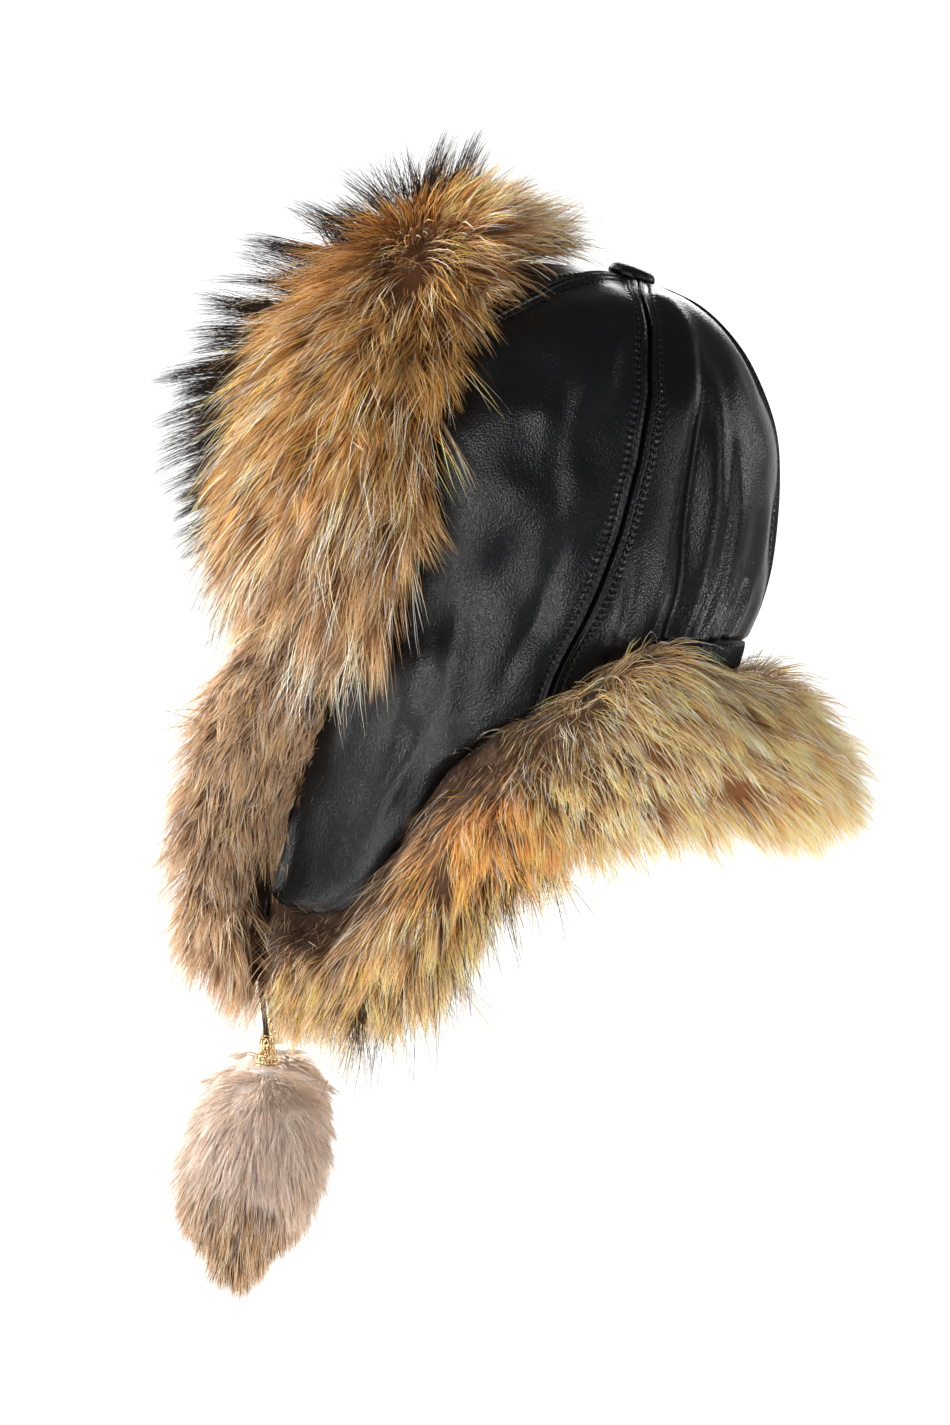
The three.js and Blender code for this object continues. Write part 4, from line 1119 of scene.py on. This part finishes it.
def liningTone(root, a, b, rng, own):
    tip = blend(rng, len(a), {"taupe": 0.6, "tan": 0.25, "shadedPlush": 0.15})
    return np.broadcast_to(palette["shadedPlush"], tip.shape), tip


def liningFlow(root, normal, a, b):
    return np.array([0, 0.1, -1.0]) + 0 * normal, np.full(len(a), 0.75), np.full(len(a), 1.0)


def flapFur(word, side):
    place = bandForm(flapSpan, side)
    along, around = shareGrid(61, 33)
    along, around = along[:, :-1], around[:, :-1][:, ::side]
    # The undercoat takes the dark plush tone, darker still, so bare patches between the hairs read as shade:
    # painted shade.
    furBody(f"flap_undercoat_{word}", place(along, around), bodyTone(around, palette["shadedPlush"] * 0.8),
            f"flap_fur_{word}")
    count = flap["coat"][word]
    shortFlow, longFlow = bandFlow(flapSpan, side, 0.31), bandFlow(flapSpan, side, 0.85)
    furCoat(f"flap_coat_{word}", place, -side, shortFlow, bandTone(flapSpan, 0), 41 + side,
            {"count": count, "clumps": count // 20, "clumpSize": 3.2, "length": 25, "vary": 0.28,
             "droop": 0.2, "stray": 0.22, "gather": 0.6, "wave": 0.3, "width": flap["width"][word],
             "clumpShade": (0.68, 1.22), "hairShade": (0.78, 1.2), "clear": clearOfLace})
    count = flap["guard"][word]
    furCoat(f"flap_guard_{word}", place, -side, longFlow, bandTone(flapSpan, 1), 51 + side,
            {"count": count, "clumps": count // 9, "levels": 6, "clumpSize": 3.0, "length": 38, "bend": 0.6,
             "stray": 0.32, "clumpShade": (0.75, 1.25), "clear": clearOfLace})

    def rimPlace(a, b):
        return place(*rimShares(a, b))

    def rimFlow(root, normal, a, b):
        return longFlow(root, normal, *rimShares(a, b))

    # Long black hairs that stand past the lower edge.
    furCoat(f"flap_tips_{word}", rimPlace, -side, rimFlow, stripeTone, 91 + side,
            {"count": 380, "clumps": 110, "levels": 5, "clumpSize": 1.6, "length": 40, "droop": 0.3,
             "width": 0.34, "hairShade": (0.7, 1.3)})

    def liningPoint(a, b, share=1.0):
        # The lining's front, or its outside for a share of 1, which bulges between the flap's seams.
        v = flap["rings"][0] + (flap["rings"][1] - flap["rings"][0]) * a
        turn = turnOf(mixed(np.interp(v, *frontSeam.T), np.interp(v, *sideSeam.T), b))
        depth = form["wall"] + fur["gap"] + fur["liningLift"] + share * fur["lining"] * (0.75 + 0.25 * np.sin(np.pi * b))
        return (plainPoint(turn, v) - normalAt(turn, v) * depth[..., None]) * np.array([side, 1, 1])

    shares = shareGrid(15, 9)
    pad = shell(f"flap_lining_{word}", liningPoint(*shares, 0.0), liningPoint(*shares), underFur, side > 0)
    plainTone(pad, palette["shadedPlush"])
    _, facing, _, _ = surfaceFrame(liningPoint, np.array([0.5]), np.array([0.5]), 1)
    furCoat(f"flap_lining_coat_{word}", liningPoint, -side * np.sign(facing[0, 0]), liningFlow, liningTone,
            101 + side,
            {"count": 1500, "clumps": 220, "clumpSize": 3.5, "length": 15, "vary": 0.25, "droop": 0.3,
             "stray": 0.25, "gather": 0.4, "wave": 0.5, "width": 1.5, "sink": 1.0, "clumpShade": (0.75, 1.15),
             "hairShade": (0.8, 1.2)})


for word, side in sides.items():
    flapFur(word, side)
print("flap fur made")

napePlace = bandForm(napeSpan, 1)
along, around = (share[:, :-1] for share in shareGrid(61, 33))
furBody("nape_undercoat", napePlace(along, around), bodyTone(around, palette["brown"] * 0.7), "nape_fur")
furCoat("nape_coat", napePlace, -1, bandFlow(napeSpan, 1, 0.3), bandTone(napeSpan, 0), 61,
        {"count": 17500, "clumps": 800, "clumpSize": 3.4, "length": 28, "vary": 0.28, "droop": 0.5,
         "stray": 0.24, "gather": 0.62, "wave": 0.35, "width": 0.43, "clumpShade": (0.62, 1.25),
         "hairShade": (0.75, 1.22)})
furCoat("nape_guard", napePlace, -1, bandFlow(napeSpan, 1, 0.58), bandTone(napeSpan, 1), 62,
        {"count": 3200, "clumps": 380, "levels": 6, "clumpSize": 3.0, "length": 38, "bend": 0.6, "droop": 0.7,
         "stray": 0.36, "wave": 1.4, "clumpShade": (0.75, 1.25)})
print("nape fur made")

# Pompoms: down, radius share. The left one has more and finer hairs than the right one.
pompom = {"length": 94.0, "radius": 33.0, "lean": math.tan(math.radians(8)), "below": 9.4, "core": 0.88,
          "coat": {"left": 15500, "right": 4800}, "guard": {"left": 1800, "right": 500},
          "width": {"left": 0.42, "right": 0.95}}
pompomProfile = np.array([
    [0, 0.14], [0.05, 0.5], [0.18, 0.87], [0.38, 1], [0.6, 0.94], [0.8, 0.7], [0.93, 0.36], [1, 0.08],
])


def pompomForm(origin, size):
    def place(a, b):
        turn, down = 2 * np.pi * a, np.clip(b, 0, 1)
        radius = pompom["radius"] * np.interp(down, *pompomProfile.T) * size
        radius = radius * (1 - 0.3 * smooth(0.5, 1, down))
        z = -pompom["length"] * (0.5 + (down - 0.5) * (0.5 + 0.5 * size))
        y = radius * np.sin(turn) + z * pompom["lean"]
        return origin + np.stack([radius * np.cos(turn), y, z], axis=-1)
    return place


def pompomFlow(root, normal, a, b):
    flow = np.array([0, -0.16, -1.0]) - normal * 0.25 * smooth(0.5, 0.9, b)[:, None]
    flow = flow + normal * np.array([2, 2, 0]) * smooth(0.2, 0.0, b)[:, None]
    lean = 0.8 + 0.15 * smooth(0.4, 0.9, b)
    return flow, lean, 0.62 + 0.3 * smooth(0.1, 0.7, b)


def pompomTone(guard):
    def toneAt(root, a, b, rng, own):
        # Pale and smooth above, tan and brown with dark hairs below.
        low = smooth(0.42, 0.72, b + 0.12 * noise3(root, 14, 27))
        tip = blend(rng, len(a), {
            "mauve": 1.8 * (1 - low) + 0.1,
            "taupe": 0.25 * (1 - low) + 0.35 * low,
            "brown": 0.5 * low,
            "black": (0.12 + 0.7 * guard) * low,
            "cream": 0.4 * low + 0.1 + 0.4 * guard,
            "tan": 0.7 * low,
        })
        base = mixed(palette["mauve"], palette["shadedPlush"], low[:, None])
        return base * rng.uniform(0.9, 1.03, (len(a), 1)), tip
    return toneAt


for word, side in sides.items():
    place = pompomForm(laces[word][1][-1] - np.array([0, 0, pompom["below"]]), pompom["core"])
    down, around = (share[:, :-1] for share in shareGrid(33, 41))
    # The core is a darkened mauve so that where it shows between the hairs it reads as shade: painted shade.
    furBody(f"pompom_core_{word}", place(around, down), palette["mauve"] * 0.6, f"pompom_{word}")
    count = pompom["coat"][word]
    furCoat(f"pompom_coat_{word}", place, -1, pompomFlow, pompomTone(0), 71 + side,
            {"count": count, "clumps": count // 22, "clumpSize": 2.4, "length": 20, "vary": 0.2, "bend": 0.4,
             "stray": 0.12, "gather": 0.4, "wave": 0.3, "width": pompom["width"][word], "sink": 1.0,
             "clumpShade": (0.86, 1.08), "hairShade": (0.88, 1.08)})
    count = pompom["guard"][word]
    furCoat(f"pompom_guard_{word}", place, -1, pompomFlow, pompomTone(1), 81 + side,
            {"count": count, "clumps": count // 9, "levels": 6, "clumpSize": 2.2, "length": 23, "bend": 0.45,
             "stray": 0.24, "gather": 0.4, "wave": 0.6, "sink": 1.0, "hairShade": (0.8, 1.2)})
print("pompoms made")

# Gold caps: a pierced bell of wires that follow its flare, with beads and a twisted rim.
cap = {"height": 14.0, "radius": 5.6, "neck": 2.4, "petals": 6, "wire": 0.42, "sink": 4.6, "rimBeads": 24,
       "sides": 5}


def bellPoint(turn, u, out=0.0):
    # U runs from the top to the rim, and the bell flares like a power of it.
    radius = cap["neck"] + (cap["radius"] - cap["neck"]) * (0.25 * u + 0.75 * u ** 2.2) ** 0.8 + out
    return np.stack([radius * np.cos(turn), radius * np.sin(turn), -cap["height"] * u], axis=-1)


def wireParts(path, radius):
    # A closed tube round a closed path.
    ahead = unit(np.roll(path, -1, axis=0) - np.roll(path, 1, axis=0))
    rings = ringsRound(path, ahead, path * np.array([1, 1, 0.2]) + 1e-4, radius, cap["sides"])
    return rings.reshape(-1, 3), ringQuads(len(path), cap["sides"], True)


def beadParts(centre, radius, rings, around):
    tall, turn = np.linspace(0, np.pi, rings + 1), np.linspace(0, 2 * np.pi, around + 1)
    tall, turn = np.meshgrid(tall, turn, indexing="ij")
    ball = np.stack([np.sin(tall) * np.cos(turn), np.sin(tall) * np.sin(turn), np.cos(tall)], axis=-1)
    return (centre + radius * ball).reshape(-1, 3), gridFaces(rings + 1, around + 1)


def capPiece(word, top):
    parts = []
    t, fine = circle(22), circle(48)
    for u, radius in ((0.03, 0.5), (0.12, 0.3), (0.66, 0.32), (0.97, 0.42)):
        parts.append(wireParts(bellPoint(fine, u + 0 * fine), radius))
    for turn in 2 * np.pi * np.arange(cap["rimBeads"]) / cap["rimBeads"]:
        parts.append(beadParts(bellPoint(turn, np.array(0.9)), 0.42, 4, 6))
    wide = 0.42 * 2 * np.pi / cap["petals"]
    for k in range(cap["petals"]):
        # A petal with a smaller one in it, a ring below each petal and gap, and a bead in each.
        centre = 2 * np.pi * k / cap["petals"]
        half = centre + np.pi / cap["petals"]
        u = 0.38 - 0.24 * np.cos(t)
        parts.append(wireParts(bellPoint(centre + wide * np.sin(t) * (0.75 + 0.25 * u), u), cap["wire"]))
        u = 0.42 - 0.12 * np.cos(t)
        parts.append(wireParts(bellPoint(centre + wide * 0.45 * np.sin(t), u), cap["wire"] * 0.7))
        for turn in (half, centre):
            path = bellPoint(turn + wide * 0.7 * np.sin(t), 0.78 - 0.1 * np.cos(t))
            parts.append(wireParts(path, cap["wire"] * 0.8))
        parts.append(beadParts(bellPoint(centre, np.array(0.62), 0.25), 0.55, 6, 10))
        parts.append(beadParts(bellPoint(half, np.array(0.5), 0.1), 0.4, 6, 10))
    start = np.cumsum([0] + [len(points) for points, _ in parts])
    points = np.concatenate([points for points, _ in parts]) + top
    faces = np.concatenate([quads + shift for (_, quads), shift in zip(parts, start)])
    piece = quadObject(f"filigree_cap_{word}", points, faces, goldMetal)
    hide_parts(f"bead_cap_{word}")
    return piece


for word, (_, path) in laces.items():
    capPiece(word, path[-1] + np.array([0, 0, cap["sink"]]))
print("gold caps made")

# Lights. The sky is white behind the hat and dim in front of it, and soft boxes give the leather its sheen.
def studioSky():
    world = bpy.data.worlds.new("studio")
    world.use_nodes = True
    tree = world.node_tree
    split, ramp = tree.nodes.new("ShaderNodeSeparateXYZ"), tree.nodes.new("ShaderNodeMapRange")
    ramp.interpolation_type = "SMOOTHSTEP"
    feed(tree, split, {"Vector": addNode(tree, "TexCoord", "Generated", {})})
    feed(tree, ramp, {"Value": split.outputs["X"], "From Min": -0.97, "From Max": -0.86, "To Min": 1.3,
                      "To Max": 0.15})
    feed(tree, tree.nodes["Background"], {"Strength": ramp.outputs["Result"], "Color": (1, 1, 1, 1)})
    bpy.context.scene.world = world


studioSky()
bpy.context.scene.view_settings.view_transform = "Standard"

# place, size, power
softLights = {
    "keyLight": ((2.2, -0.9, 0.15), 0.4, 15),
    "flapLight": ((1.5, -1.3, -0.75), 0.3, 9),
    "sideLight": ((1.1, 1.9, 0.2), 0.3, 4.5),
    "lowSideLight": ((1.4, 1.5, -1.2), 0.5, 22),
    "frontLight": ((0.1, -2.0, 0.4), 1.0, 40),
    "browLight": ((-0.3, -1.5, 1.3), 0.7, 45),
    "topLight": ((-1.5, -1.0, 1.05), 0.6, 30),
    "hairLight": ((-1.7, 0.3, 0.75), 0.5, 6),
    "backLight": ((-0.9, 1.9, 0.3), 0.35, 4),
    "napeLight": ((-0.5, 1.3, -1.3), 0.8, 40),
    "lowLight": ((0.6, -0.8, -1.7), 0.8, 20),
}
for name, (place, size, power) in softLights.items():
    data = bpy.data.lights.new(name, "AREA")
    data.energy = power
    data.size = size
    light = bpy.data.objects.new(name, data)
    bpy.context.scene.collection.objects.link(light)
    light.location = place
    light.rotation_euler = (Vector(place) - Vector((0, 0, -0.05))).to_track_quat("Z", "Y").to_euler()
print("lights placed")

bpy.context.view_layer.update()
total = sum(len(p.vertices) - 2 for o in bpy.data.objects if o.type == "MESH" for p in o.data.polygons)
print("triangles in the scene:", total)
